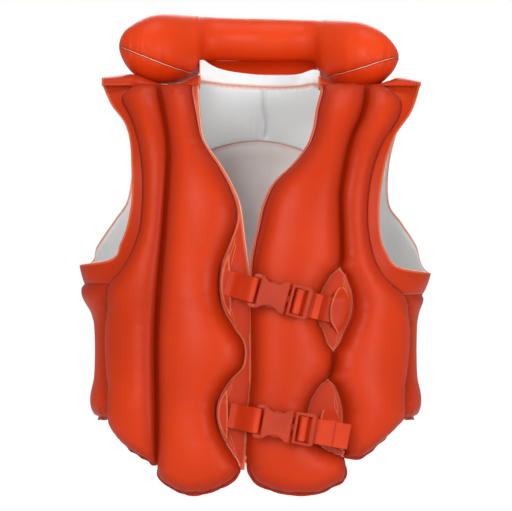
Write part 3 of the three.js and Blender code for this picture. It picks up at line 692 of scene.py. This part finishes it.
def smooth_line(points, count):
    """Catmull-Rom through [side, x, z] places, in the pattern's own measures."""
    p = np.array([
        [float(on_front(x, z) if side == "front" else on_back(x, z) - (2 * HALF_ROUND if x < 0 else 0)), z]
        for side, x, z in points
    ])
    p = np.concatenate([[2 * p[0] - p[1]], p, [2 * p[-1] - p[-2]]])
    out = []
    spans = len(p) - 3
    for t in np.linspace(0, spans, count):
        k = min(int(t), spans - 1)
        u = t - k
        a, b, c, d = p[k:k + 4]
        out.append(0.5 * (2 * b + (c - a) * u + (2 * a - 5 * b + 4 * c - d) * u**2
                          + (3 * b - a - 3 * c + d) * u**3))
    return np.array(out)


def ruled(outer, inner, columns=8, rows=220):
    a, b = smooth_line(outer, rows), smooth_line(inner, rows)
    u = np.linspace(0, 1, columns)[:, None, None]
    return a[None] * (1 - u) + b[None] * u


def rippled(flat, amount, seed):
    rng = np.random.default_rng(seed)
    columns, rows = flat.shape[:2]
    along = np.linspace(0, 1, rows)
    wave = sum(rng.normal(0, 1) * np.sin(2 * math.pi * k * along + rng.uniform(0, 6)) / k**0.5
               for k in range(3, 16))
    across = np.linspace(1, 0, columns)[:, None]
    return amount * across**1.5 * wave[None]


def armhole(front, back):
    """Places down the front of an armhole and up its back."""
    return [("front", x, z) for x, z in front] + [("back", x, z) for x, z in back]


FLAT_FILMS = {
    "right_armhole_film": (ruled(armhole([
        (-154, -7), (-145, -27), (-129, -51), (-124, -90), (-125, -132), (-135, -165), (-151, -184),
    ], [
        (-170, -187), (-160, -168), (-143, -142), (-129, -118), (-126, -70), (-137, -35), (-152, -8),
    ]), armhole([
        (-122, -7), (-134, -23), (-120, -53), (-114, -90), (-115, -135), (-121, -170), (-141, -201),
    ], [
        (-170, -206), (-141, -200), (-128, -172), (-119, -122), (-117, -75), (-118, -35), (-119, -9),
    ])), 0.5, "right_armhole_flange"),
    "left_armhole_film": (ruled(armhole([
        (165, -7), (156, -34), (138, -61), (127, -98), (123, -140), (129, -173), (149, -192),
    ], [
        (172, -194), (162, -168), (147, -145), (135, -125), (135, -85), (147, -40), (162, -8),
    ]), armhole([
        (125, -7), (144, -31), (127, -61), (114, -100), (111, -140), (117, -180), (136, -210),
    ], [
        (172, -217), (141, -205), (128, -172), (119, -122), (117, -75), (118, -35), (119, -9),
    ])), 0.5, "left_armhole_flange"),
    "right_opening_film": (between(right_opening_weld, right_opening_edge, -392, -8, 8, 200, 0.2), 0.35,
                           "right_opening_flange"),
    "left_opening_film": (between(lambda z: left_opening_weld(z) - 2.2, left_opening_weld, -385, -8, 5,
                                  160, 0.2), 0.1, "left_opening_flange"),
    "left_upper_film": (between(left_seam, left_outer_seam, -304, -187, 10, 60, 0.2), 0.0,
                        "left_upper_island"),
    "left_lower_film": (between(left_seam, left_outer_seam, -382, -304, 10, 50, 0.2), 0.0,
                        "left_lower_island"),
}


def tucked(flat, by=6.0, down=1.1, steps=4):
    """Carries a film on under the tube that it is welded to, a little nearer the body."""
    way = flat[-1] - flat[-3]
    way = way / np.maximum(np.linalg.norm(way, axis=-1, keepdims=True), 1e-6)
    more = [flat[-1] + way * by * k / steps for k in range(1, steps + 1)]
    sink = np.concatenate([np.zeros(len(flat)), -down * np.linspace(0.6, 1, steps)])
    sink[len(flat) - 1] = -0.2 * down
    return np.concatenate([flat, np.stack(more)]), sink


REVEAL = {"right_opening_film": (0, 1.0), "right_armhole_film": (0.5, 0), "left_armhole_film": (0.5, 0)}
for seed, (name, (flat, amount, node)) in enumerate(FLAT_FILMS.items()):
    ripple = rippled(flat, amount, 30 + seed)
    if "armhole" in name:
        flat, sink = tucked(flat)
        ripple = np.concatenate([ripple, np.zeros((len(sink) - len(ripple), ripple.shape[1]))]) + sink[:,
            None]
    obj = strip(name, flat, place_on_body, FLAT, HALF_FILM, ripple, REVEAL.get(name, (0, 0)))
    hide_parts(node)
    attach(obj, "vest")


HEM_WIDTH, HEM_LAP = 1.9, 1.2


def hem(name, path, seed, body="vest"):
    """The welded margin beyond the end of a tube, drawn up into small scallops."""
    step = np.linalg.norm(np.diff(path, axis=0), axis=1)
    along = np.concatenate([[0], np.cumsum(step)])
    count = max(12, int(along[-1] / 1.6))
    at = np.linspace(0, along[-1], count)
    line = np.stack([np.interp(at, along, path[:, k]) for k in (0, 1)], 1)
    line[1:-1] = (line[:-2] + 2 * line[1:-1] + line[2:]) / 4
    go = np.gradient(line, axis=0)
    go /= np.linalg.norm(go, axis=1)[:, None]
    out = np.stack([go[:, 1], -go[:, 0]], 1)
    rng = np.random.default_rng(seed)
    phase = np.cumsum(rng.normal(0, 0.12, count))
    scallop = 0.8 * np.abs(np.sin(math.pi * at / 19 + phase)) - 0.4
    taper = np.clip(np.minimum(at, along[-1] - at) / 12, 0, 1)
    rows = []
    for share in np.linspace(0, 1, 6):
        reach = -HEM_LAP + share * (HEM_WIDTH + HEM_LAP + scallop * share)
        rows.append(line + out * (reach * (0.25 + 0.75 * taper))[:, None])
    flat = np.stack(rows, 0)
    share = np.linspace(0, 1, 6)[:, None]
    lift = share**1.4 * (1.1 * np.sin(2 * math.pi * at / 15 + 2 * phase) * taper)[None]
    obj = strip(name, flat, place_on_body, BAG, ripple=lift)
    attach(obj, body)


def outline_of(pattern, start, stop):
    """Part of a tube's edge: from a height on its left, round the bottom, to a height on its right."""
    left, right = pattern[0], pattern[-1]
    down = left[left[:, 1] <= start][::-1]
    up = right[right[:, 1] <= stop]
    bottom = pattern[1:-1, 0]
    return np.concatenate([down, bottom, up])


hem("right_inner_hem", outline_of(BAGS["right_inner_tube"][0], -392, -388), seed=41)
hem("right_outer_hem", outline_of(BAGS["right_outer_tube"][0], -346, -389), seed=42)
hem("left_inner_hem", outline_of(BAGS["left_inner_tube"][0], -380, -388), seed=43)
hem("left_outer_hem", outline_of(BAGS["left_outer_tube"][0], -389, -346), seed=44)
for side in ("right_side_tube", "left_side_tube", "back_right_tube", "back_centre_tube", "back_left_tube"):
    hem(side.replace("tube", "hem"), BAGS[side][0][:, 0], seed=50 + len(side))


# ---------------------------------------------------------------- shoulders and neck
def bent_film(name, profile, x0, x1, node, body):
    """A film across the body: profile is (y, z) places from front to back."""
    profile = np.array(profile, float)
    step = np.concatenate([[0], np.cumsum(np.linalg.norm(np.diff(profile, axis=0), axis=1))])
    v = np.linspace(0, step[-1], 46)
    y, z = np.interp(v, step, profile[:, 0]), np.interp(v, step, profile[:, 1])
    for _ in range(6):
        y[1:-1] = (y[:-2] + 2 * y[1:-1] + y[2:]) / 4
        z[1:-1] = (z[:-2] + 2 * z[1:-1] + z[2:]) / 4
    x = np.linspace(x0, x1, 40)
    flat = np.stack(np.broadcast_arrays(x[:, None], v[None]), -1)
    ny, nz = -np.gradient(z), np.gradient(y)
    n = np.hypot(ny, nz)

    def place(flat, h):
        shape = flat.shape[:2]
        return np.stack([
            flat[..., 0],
            np.broadcast_to(y, shape) + h * (ny / n)[None],
            np.broadcast_to(z, shape) + h * (nz / n)[None],
        ], -1)

    obj = strip(name, flat, place, FLAT)
    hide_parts(node)
    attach(obj, body)


def shoulder_film(name, crest, x_out, x_in, node):
    """A film over the shoulder: low under the pillow's lobe, and curled up towards the arm."""
    columns, rows = 60, 46
    u, v = np.meshgrid(np.linspace(0, 1, columns), np.linspace(-1, 1, rows), indexing="ij")
    x = x_out + (x_in - x_out) * u
    high = crest(x)
    tuck = np.clip((126 - np.abs(x)) / 7, 0, 1)
    y = (28.6 - 2.4 * tuck) * v
    foot = -8 - 3 * tuck
    z = foot + (high - foot) * np.sqrt(np.clip(1 - np.abs(v) ** 3.2, 0, 1))
    flat = np.stack([x, 45 * v], -1)
    up = np.stack([0 * u, 0.5 * v, np.ones_like(u)], -1)
    if x_out > x_in:
        flat, y, z, up = flat[::-1], y[::-1], z[::-1], up[::-1]

    def place(flat, h):
        return np.stack([flat[..., 0], y, z], -1) + up * np.asarray(h)[..., None]

    obj = strip(name, flat, place, (flat_vinyl, lining, flat_vinyl))
    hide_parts(node)
    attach(obj, "vest")


shoulder_film("right_shoulder_film", curve([(-155, 0.8), (-140, 2.2), (-123, 3.4), (-108, -2),
                                            (-96, -6.3), (-80, -6.0), (-70, -3.6), (-62, 0.8), (-56, 3.2)]),
              -154.8, -56, "right_shoulder_flange")
shoulder_film("left_shoulder_film", curve([(63, 2.0), (68, -0.5), (76, -5), (84, -6.8), (108, -6.8),
                                           (122, -6.2), (133, -3.2), (143, 0.2), (154, -1.0), (166, -3.6)]),
              165.5, 63, "left_shoulder_flange")
bent_film("collar_film", [(30.4, 4.0), (36, 7.5), (44, 12), (55, 18.5)], -53, 62, "collar_flange", "collar")

neck_top = curve([(-57, 19), (-53, 19), (-46, 14.5), (-36, 10), (-15, 6), (20, 3.2), (44, 5), (58, 9.5),
                  (64, 8)])


def neckline():
    """The white film that stands up behind the neck, with its pressed weld line."""
    columns, rows = 90, 26
    x, v = np.meshgrid(np.linspace(-57, 64.5, columns), np.linspace(0, 1, rows), indexing="ij")
    foot = yoke_top(x) - 0.6
    z = foot + (neck_top(x) - foot) * v
    y = half_depth(foot) + (27.4 - half_depth(foot)) * v**0.5
    y = y + 0.5 * v * np.sin(x / 5.5) + 0.3 * v * np.sin(x / 2.3 + 1)

    def place(flat, h):
        return np.stack([flat[..., 0], y - h, z], -1)

    obj = strip("neckline_film", np.stack([x, z], -1), place, (lining, vinyl, cut_edge))
    near = 0.9 + (z - foot) * 0.6
    obj.data.attributes["weld"].data.foreach_set("value", np.tile(near.ravel(), 2).astype(np.float32))
    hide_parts("neckline_flange")
    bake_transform(obj)


neckline()

# ---------------------------------------------------------------- head pillow
pillow_top = curve([(-136.5, 32.5), (-135, 38), (-131, 45), (-124, 51), (-112, 58), (-99, 62),
                    (-84, 62.5), (-56, 61.6),
                    (-16, 60.2), (44, 58.6), (74, 57), (102, 54.6), (115, 50.5), (126, 44), (135, 35),
                    (140, 27.5), (142.3, 21)])
pillow_bottom = curve([(-136.5, 29.5), (-135, 23.5), (-131, 15), (-124, 6), (-116, 0), (-106, -4),
                       (-91, -5.8), (-76, -4.5),
                       (-64, -1), (-57.5, 4), (-53, 14), (-47, 17), (4, 17), (54, 16.5), (60, 14),
                       (64, 3), (71, -4),
                       (80, -8.5), (91, -11), (104, -11.8), (114, -10), (124, -5.5), (132, 1.5), (138, 9),
                       (142.3, 19)])
pillow_seam = curve([(-136.5, 31), (-119, 23.5), (-103.6, 17.2), (-88.7, 11.3), (-74, 6.6), (-58, 3.4),
                     (-53, 8), (-47, 14),
                     (54, 14), (60, 8), (65.4, -1.2), (78.7, 1.9), (93, 5.2), (109, 10.1), (125.6, 15.8),
                     (142.3, 20.5)])
pillow_y = curve([(-136.5, 14), (-110, 20), (-84, 32), (-60, 52), (-38, 62.5), (4, 60.3),
                  (46, 62), (66, 52), (92, 30), (118, 20), (142.3, 14)])
pillow_girth = curve([(-136, 0.95), (-80, 0.95), (-48, 1.1), (50, 1.1), (86, 0.95), (142, 0.95)])


def pillow_section(x, turn, beyond=0.0):
    """A place on the pillow: turn is the angle over the top from its front weld, in radians."""
    top, bottom, seam = pillow_top(x) + 3, pillow_bottom(x) + 0.5, pillow_seam(x) + 1.5
    half = (top - bottom) / 2
    start = np.arcsin(np.clip((seam - (top + bottom) / 2) / half, -1, 1))
    angle = start + turn
    from_weld = half * np.minimum(np.abs(turn), math.pi - np.abs(turn))
    crease = 1 - 0.045 * np.exp(-from_weld / 3.5)
    size = half * crease + beyond
    return (
        np.stack([1.012 * x + 0 * turn, pillow_y(x) - size * pillow_girth(x) * np.cos(angle),
                  (top + bottom) / 2 + size * np.sin(angle)], -1),
        from_weld,
    )


def head_pillow():
    columns, rows = 190, 66
    x = -136.4 + 278.6 * spread(columns, 0.35)
    rng = np.random.default_rng(21)
    phase = np.cumsum(rng.normal(0, 0.25, columns))
    lobes = np.clip((np.abs(x - 3) - 52) / 25, 0.12, 1)
    fold = lobes * (np.sin(x / 2.6 + phase) + 0.6 * np.sin(x / 1.35 + 2 * phase))
    points, welds, kinds, faces = [], [], [], []
    for k, way in enumerate((1, -1)):
        turn = np.broadcast_to(math.pi * spread(rows, 0.5) * way, (columns, rows))
        x_grid = np.broadcast_to(x[:, None], turn.shape)
        _, distance = pillow_section(x_grid, turn)
        push = 1.1 * fold[:, None] * distance / (distance + 2.5) * np.exp(-distance / 9)
        place, _ = pillow_section(x_grid, turn, push)
        points.append(place.reshape(-1, 3))
        welds.append(distance.ravel())
        faces.append(grid_faces(columns, rows, k * columns * rows, way < 0))
    ends = []
    count = columns * rows
    for i, turned in ((0, False), (columns - 1, True)):
        loop = [i * rows + j for j in range(rows)] + [count + i * rows + j for j in range(rows - 2, 0, -1)]
        ends.append(tuple(loop if turned else loop[::-1]))
    obj = mesh_object("head_pillow", np.concatenate(points), np.concatenate(faces).tolist() + ends, None,
                      (pillow_vinyl_painted_light,))
    store(obj, "weld", np.concatenate(welds) + 0.4)
    edit = bmesh.new()
    edit.from_mesh(obj.data)
    bmesh.ops.remove_doubles(edit, verts=edit.verts, dist=1e-6)
    bmesh.ops.recalc_face_normals(edit, faces=edit.faces)
    edit.to_mesh(obj.data)
    edit.free()
    return obj


pillow = head_pillow()
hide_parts("collar_pillow")
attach(pillow, "collar")


def pillow_margin(name, x0, x1, turn):
    """The cut margin of the weld, which stands out along the lobe as a thin pale line."""
    x = np.linspace(x0, x1, 140)
    flat = np.stack(np.broadcast_arrays(np.linspace(0.8, -1.2, 4)[:, None], x[None]), -1)

    def place(flat, h):
        return pillow_section(flat[..., 1], turn + h / 30,
                              flat[..., 0] + 0.25 * np.sin(flat[..., 1] / 1.9))[0]

    obj = strip(name, flat, place, (pillow_vinyl_painted_light, pillow_vinyl_painted_light, cut_edge))
    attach(obj, "collar")


for end, (x0, x1) in {"right": (-136, -58), "left": (65.5, 142)}.items():
    pillow_margin(end + "_lobe_margin", x0, x1, 0.0)
    pillow_margin(end + "_lobe_back_margin", x0, x1, math.pi)

# ---------------------------------------------------------------- weld arcs
def weld_arc(name, seam, offset, bottom, top):
    """A pressed line in a flat film, along the edge of the tube beside it."""
    columns, rows = 4, 60
    share, z = np.meshgrid(np.linspace(-1, 1, columns), bottom + (top - bottom) * spread(rows, 0.6),
                           indexing="ij")
    run_in = 1 - np.sqrt(np.clip(1 - ((2 * z - bottom - top) / (top - bottom)) ** 2, 0, 1))
    s = seam(z) + offset * (1 - 0.55 * run_in) + 0.42 * share
    obj = strip(name, np.stack([s, z], -1), place_on_body, (flat_vinyl, flat_vinyl, flat_vinyl), 0.25,
                0.55 + 0.15 * (1 - share**2))
    obj.data.attributes["weld"].data.foreach_set("value", np.zeros(2 * columns * rows, np.float32))
    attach(obj, "vest")


for name, seam, offsets, bottom, top in (
    ("right_upper", right_opening_weld, (5.0, 8.5), -250, -160),
    ("right_lower", right_opening_weld, (5.0, 8.5), -378, -300),
    ("left_upper", left_outer_seam, (-4.5, -7.5), -272, -199),
    ("left_lower", left_outer_seam, (-4.5, -7.5), -374, -313),
):
    for k, offset in enumerate(offsets):
        weld_arc(f"{name}_arc_{k + 1}", seam, offset, bottom + 6 * k, top - 6 * k)

# ---------------------------------------------------------------- buckles, straps and patches
BUCKLE_Y = -117.5
SEATS = {"upper": (-4.9, -212.0, 14.7), "lower": (-1.1, -341.9, 10.0)}


def seat_matrix(which):
    x, z, fall = SEATS[which]
    turn = math.radians(fall)
    return Matrix((
        (math.cos(turn), math.sin(turn), 0, x * MM),
        (0, 0, -1, BUCKLE_Y * MM),
        (-math.sin(turn), math.cos(turn), 0, (z + CREST) * MM),
        (0, 0, 0, 1),
    ))


HALF_SECTION = [
    (-1, -0.4), (-0.98, -1), (-0.9, -1), (-0.86, -0.8), (-0.5, -0.8), (0, -0.8),
    (0.5, -0.8), (0.86, -0.8), (0.9, -1), (0.98, -1), (1, -0.4),
]


def ribbon(name, path, width, thick, which, material, rounding=5):
    """Webbing that follows a line of (length, height) places beside its buckle."""
    p = np.array(path, float)
    for _ in range(rounding):  # corner cutting
        q = np.empty((2 * len(p) - 2, 2))
        q[0::2], q[1::2] = 0.78 * p[:-1] + 0.22 * p[1:], 0.22 * p[:-1] + 0.78 * p[1:]
        p = np.concatenate([[p[0]], q, [p[-1]]])
        keep = np.concatenate([[True], np.linalg.norm(np.diff(p, axis=0), axis=1) > 0.12])
        p = p[keep]
    step = np.concatenate([[0], np.cumsum(np.linalg.norm(np.diff(p, axis=0), axis=1))])
    at = np.linspace(0, step[-1], max(10, int(step[-1] / 0.8)))
    p = np.stack([np.interp(at, step, p[:, k]) for k in (0, 1)], 1)
    go = np.gradient(p, axis=0)
    go /= np.linalg.norm(go, axis=1)[:, None]
    side = np.stack([-go[:, 1], go[:, 0]], 1)
    section = [(a * width / 2, b * thick / 2) for a,
               b in HALF_SECTION + [(-a, -b) for a, b in HALF_SECTION]]
    n = len(section)
    points = [(q[0] + s[0] * b, a, q[1] + s[1] * b) for q, s in zip(p, side) for a, b in section]
    faces = [(i * n + k, i * n + (k + 1) % n, (i + 1) * n + (k + 1) % n, (i + 1) * n + k)
             for i in range(len(p) - 1) for k in range(n)]
    faces += [tuple(range(n - 1, -1, -1)), tuple((len(p) - 1) * n + k for k in range(n))]
    obj = mesh_object(name, points, faces, None, (material,), lift=0.0)
    obj.data.transform(seat_matrix(which))
    return obj


FIXED = [(-26, -30.9), (-17, -30.5), (-5.2, -4.6), (-0.6, 3.1), (4.4, 3.1), (5.3, 0), (4.4, -3.2),
         (0, -3.4),
         (-3.4, -6.8), (-14.6, -32), (-18, -33), (-26, -33)]
BAR = [(56, -2.7), (52.6, -0.6), (51, 2.6), (48, 3.1), (45.2, 2.8), (44.4, 0), (45, -3.6), (47.4, -4.9),
       (62, -5)]
ADJUSTER = {
    "upper": [(64, -1.0), (70.5, -1.0), (71.2, -1.9), (70.5, -2.6), (62, -2.7)] + BAR
    + [(67.5, -12), (74, -33), (77.4, -37.6), (90, -40.4)],
    "lower": [(80, -1.2), (94, -1.6), (94.8, -2.6), (94, -3.5), (80, -2.7)] + BAR
    + [(65.2, -16), (68, -33), (71, -37.2), (83, -39.8)],
}
for which in ("upper", "lower"):
    fixed = ribbon(which + "_fixed_webbing", FIXED, 25, 1.2, which, webbing)
    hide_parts(which + "_fixed_strap")
    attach(fixed, "vest")
    loose = ribbon(which + "_adjuster_webbing", ADJUSTER[which], 25, 1.2, which, webbing)
    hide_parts(which + "_adjuster_strap")
    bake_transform(loose)

PATCHES = {
    "right_upper_tab": (right_opening_weld, lambda z: on_front(-9.5, z), -243, -168, 1.2,
                        "right_upper_patch"),
    "right_lower_tab": (right_opening_weld, lambda z: on_front(-13.5, z), -370, -306, 1.2,
                        "right_lower_patch"),
    "left_upper_tab": (left_seam, left_outer_seam, -259, -210, 2.4, "left_upper_patch"),
    "left_lower_tab": (left_seam, left_outer_seam, -373, -332, 2.4, "left_lower_patch"),
}
STRAP_HEIGHTS = {"right_upper_tab": -207, "right_lower_tab": -338, "left_upper_tab": -235.5,
                 "left_lower_tab": -356.5}
for name, (left, right, bottom, top, margin, node) in PATCHES.items():
    u, v = np.meshgrid(np.linspace(0, 1, 14), spread(40, 0.5), indexing="ij")
    z = bottom + (top - bottom) * v
    inset = margin + 4 * (1 - np.sqrt(np.clip(1 - (2 * v - 1) ** 2, 0, 1)))
    cover = np.clip(2.0 - np.abs(z - STRAP_HEIGHTS[name]) / 12.5, 0, 1)
    cover = cover * cover * (3 - 2 * cover)
    a, b = left(z) + inset, right(z) - inset
    if "right" in name:
        b = b - 12  # the strap comes out from under the film here
        lift = 1.1 + 3.4 * cover
    else:
        a = a + 9
        lift = 1.1 + 4.8 * cover * np.sin(math.pi * (0.5 - 0.5 * u)) ** 0.4
    flat = np.stack([a + np.maximum(b - a, 0.2) * u, z], -1)
    obj = strip(name, flat, place_on_body, (flat_vinyl, flat_vinyl, cut_edge), ripple=lift)
    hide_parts(node)
    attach(obj, "vest")


def moulded_copy(node, edge, material):
    """A CAD piece with its sharp edges rounded, as it comes out of a mould."""
    source = frame["nodes"][node]
    edit = bmesh.new()
    edit.from_mesh(source.data)
    bmesh.ops.remove_doubles(edit, verts=edit.verts, dist=2e-6)
    bmesh.ops.dissolve_limit(edit, angle_limit=math.radians(2), verts=edit.verts, edges=edit.edges)
    sharp = [
        e for e in edit.edges
        if e.is_manifold and e.calc_face_angle() > math.radians(38) and e.calc_length() > edge
    ]
    bmesh.ops.bevel(edit, geom=sharp, offset=edge, segments=2, affect="EDGES", clamp_overlap=True)
    mesh = bpy.data.meshes.new(node + "_moulding")
    edit.to_mesh(mesh)
    edit.free()
    mesh.materials.append(material)
    mesh.polygons.foreach_set("use_smooth", np.ones(len(mesh.polygons), bool))
    mesh.set_sharp_from_angle(angle=math.radians(50))
    obj = bpy.data.objects.new(node + "_moulding", mesh)
    bpy.context.scene.collection.objects.link(obj)
    level = obj.modifiers.new("flat_faces", "WEIGHTED_NORMAL")
    level.keep_sharp = True
    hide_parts(node)
    return obj


body_of = {node: body for body, nodes in frame["record"]["behaviour"]["bodies"].items() for node in nodes}
for node in list(frame["nodes"]):
    if "buckle" in node or "latch" in node:
        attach(moulded_copy(node, 0.00035, moulded), body_of[node])
    elif "valve" in node:
        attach(moulded_copy(node, 0.0002, clear), body_of[node])

# ---------------------------------------------------------------- floor, light and camera
bpy.ops.mesh.primitive_plane_add(size=60, location=(0, 0, -0.60))
floor = bpy.context.object
floor.name = "floor"
paper = finish("floor", (0.83, 0.83, 0.83), (0.86, 0.86, 0.86), (0.85, 0.95), 2, 20, 0.02)
surface = paper.node_tree.nodes["Principled BSDF"]
seen = paper.node_tree.nodes.new("ShaderNodeLightPath")
surface.inputs["Emission Color"].default_value = (1, 1, 1, 1)
paper.node_tree.links.new(ranged(paper.node_tree, seen.outputs["Is Camera Ray"], 0, 1, 0, 0.62),
                          surface.inputs["Emission Strength"])
floor.data.materials.append(paper)


def light(name, place, aim, size, power):
    data = bpy.data.lights.new(name, "AREA")
    data.size, data.energy = size, power
    obj = bpy.data.objects.new(name, data)
    bpy.context.scene.collection.objects.link(obj)
    obj.location = place
    obj.rotation_euler = (Vector(aim) - Vector(place)).to_track_quat("-Z", "Y").to_euler()


middle = (0, 0, -0.17)
light("key", (-0.7, -2.4, 0.45), (0, 0, -0.12), 1.1, 30)
light("fill", (1.5, -1.9, -0.15), middle, 0.9, 17)
light("top", (0.2, -0.4, 1.9), middle, 1.0, 13)
light("rear", (0.0, 1.9, 0.8), (0, 0, 0), 1.4, 24)
bpy.context.scene.view_settings.view_transform = "Standard"
world = bpy.data.worlds.new("studio")
bpy.context.scene.world = world
world.use_nodes = True
backdrop = world.node_tree.nodes["Background"]
backdrop.inputs["Color"].default_value = (1, 1, 1, 1)
rays = world.node_tree.nodes.new("ShaderNodeLightPath")
world.node_tree.links.new(ranged(world.node_tree, rays.outputs["Is Camera Ray"], 0, 1, 0.45, 1.0),
                          backdrop.inputs["Strength"])

PICTURE_WIDTH = 0.512
camera = bpy.data.cameras.new("camera")
camera.lens = 500
eye = bpy.data.objects.new("camera", camera)
bpy.context.scene.collection.objects.link(eye)
aim = Vector((0, -0.05, -0.1705))
eye.location = aim - Vector((0, PICTURE_WIDTH * camera.lens / camera.sensor_width, 0))
eye.rotation_euler = (aim - eye.location).to_track_quat("-Z", "Y").to_euler()
bpy.context.scene.camera = eye
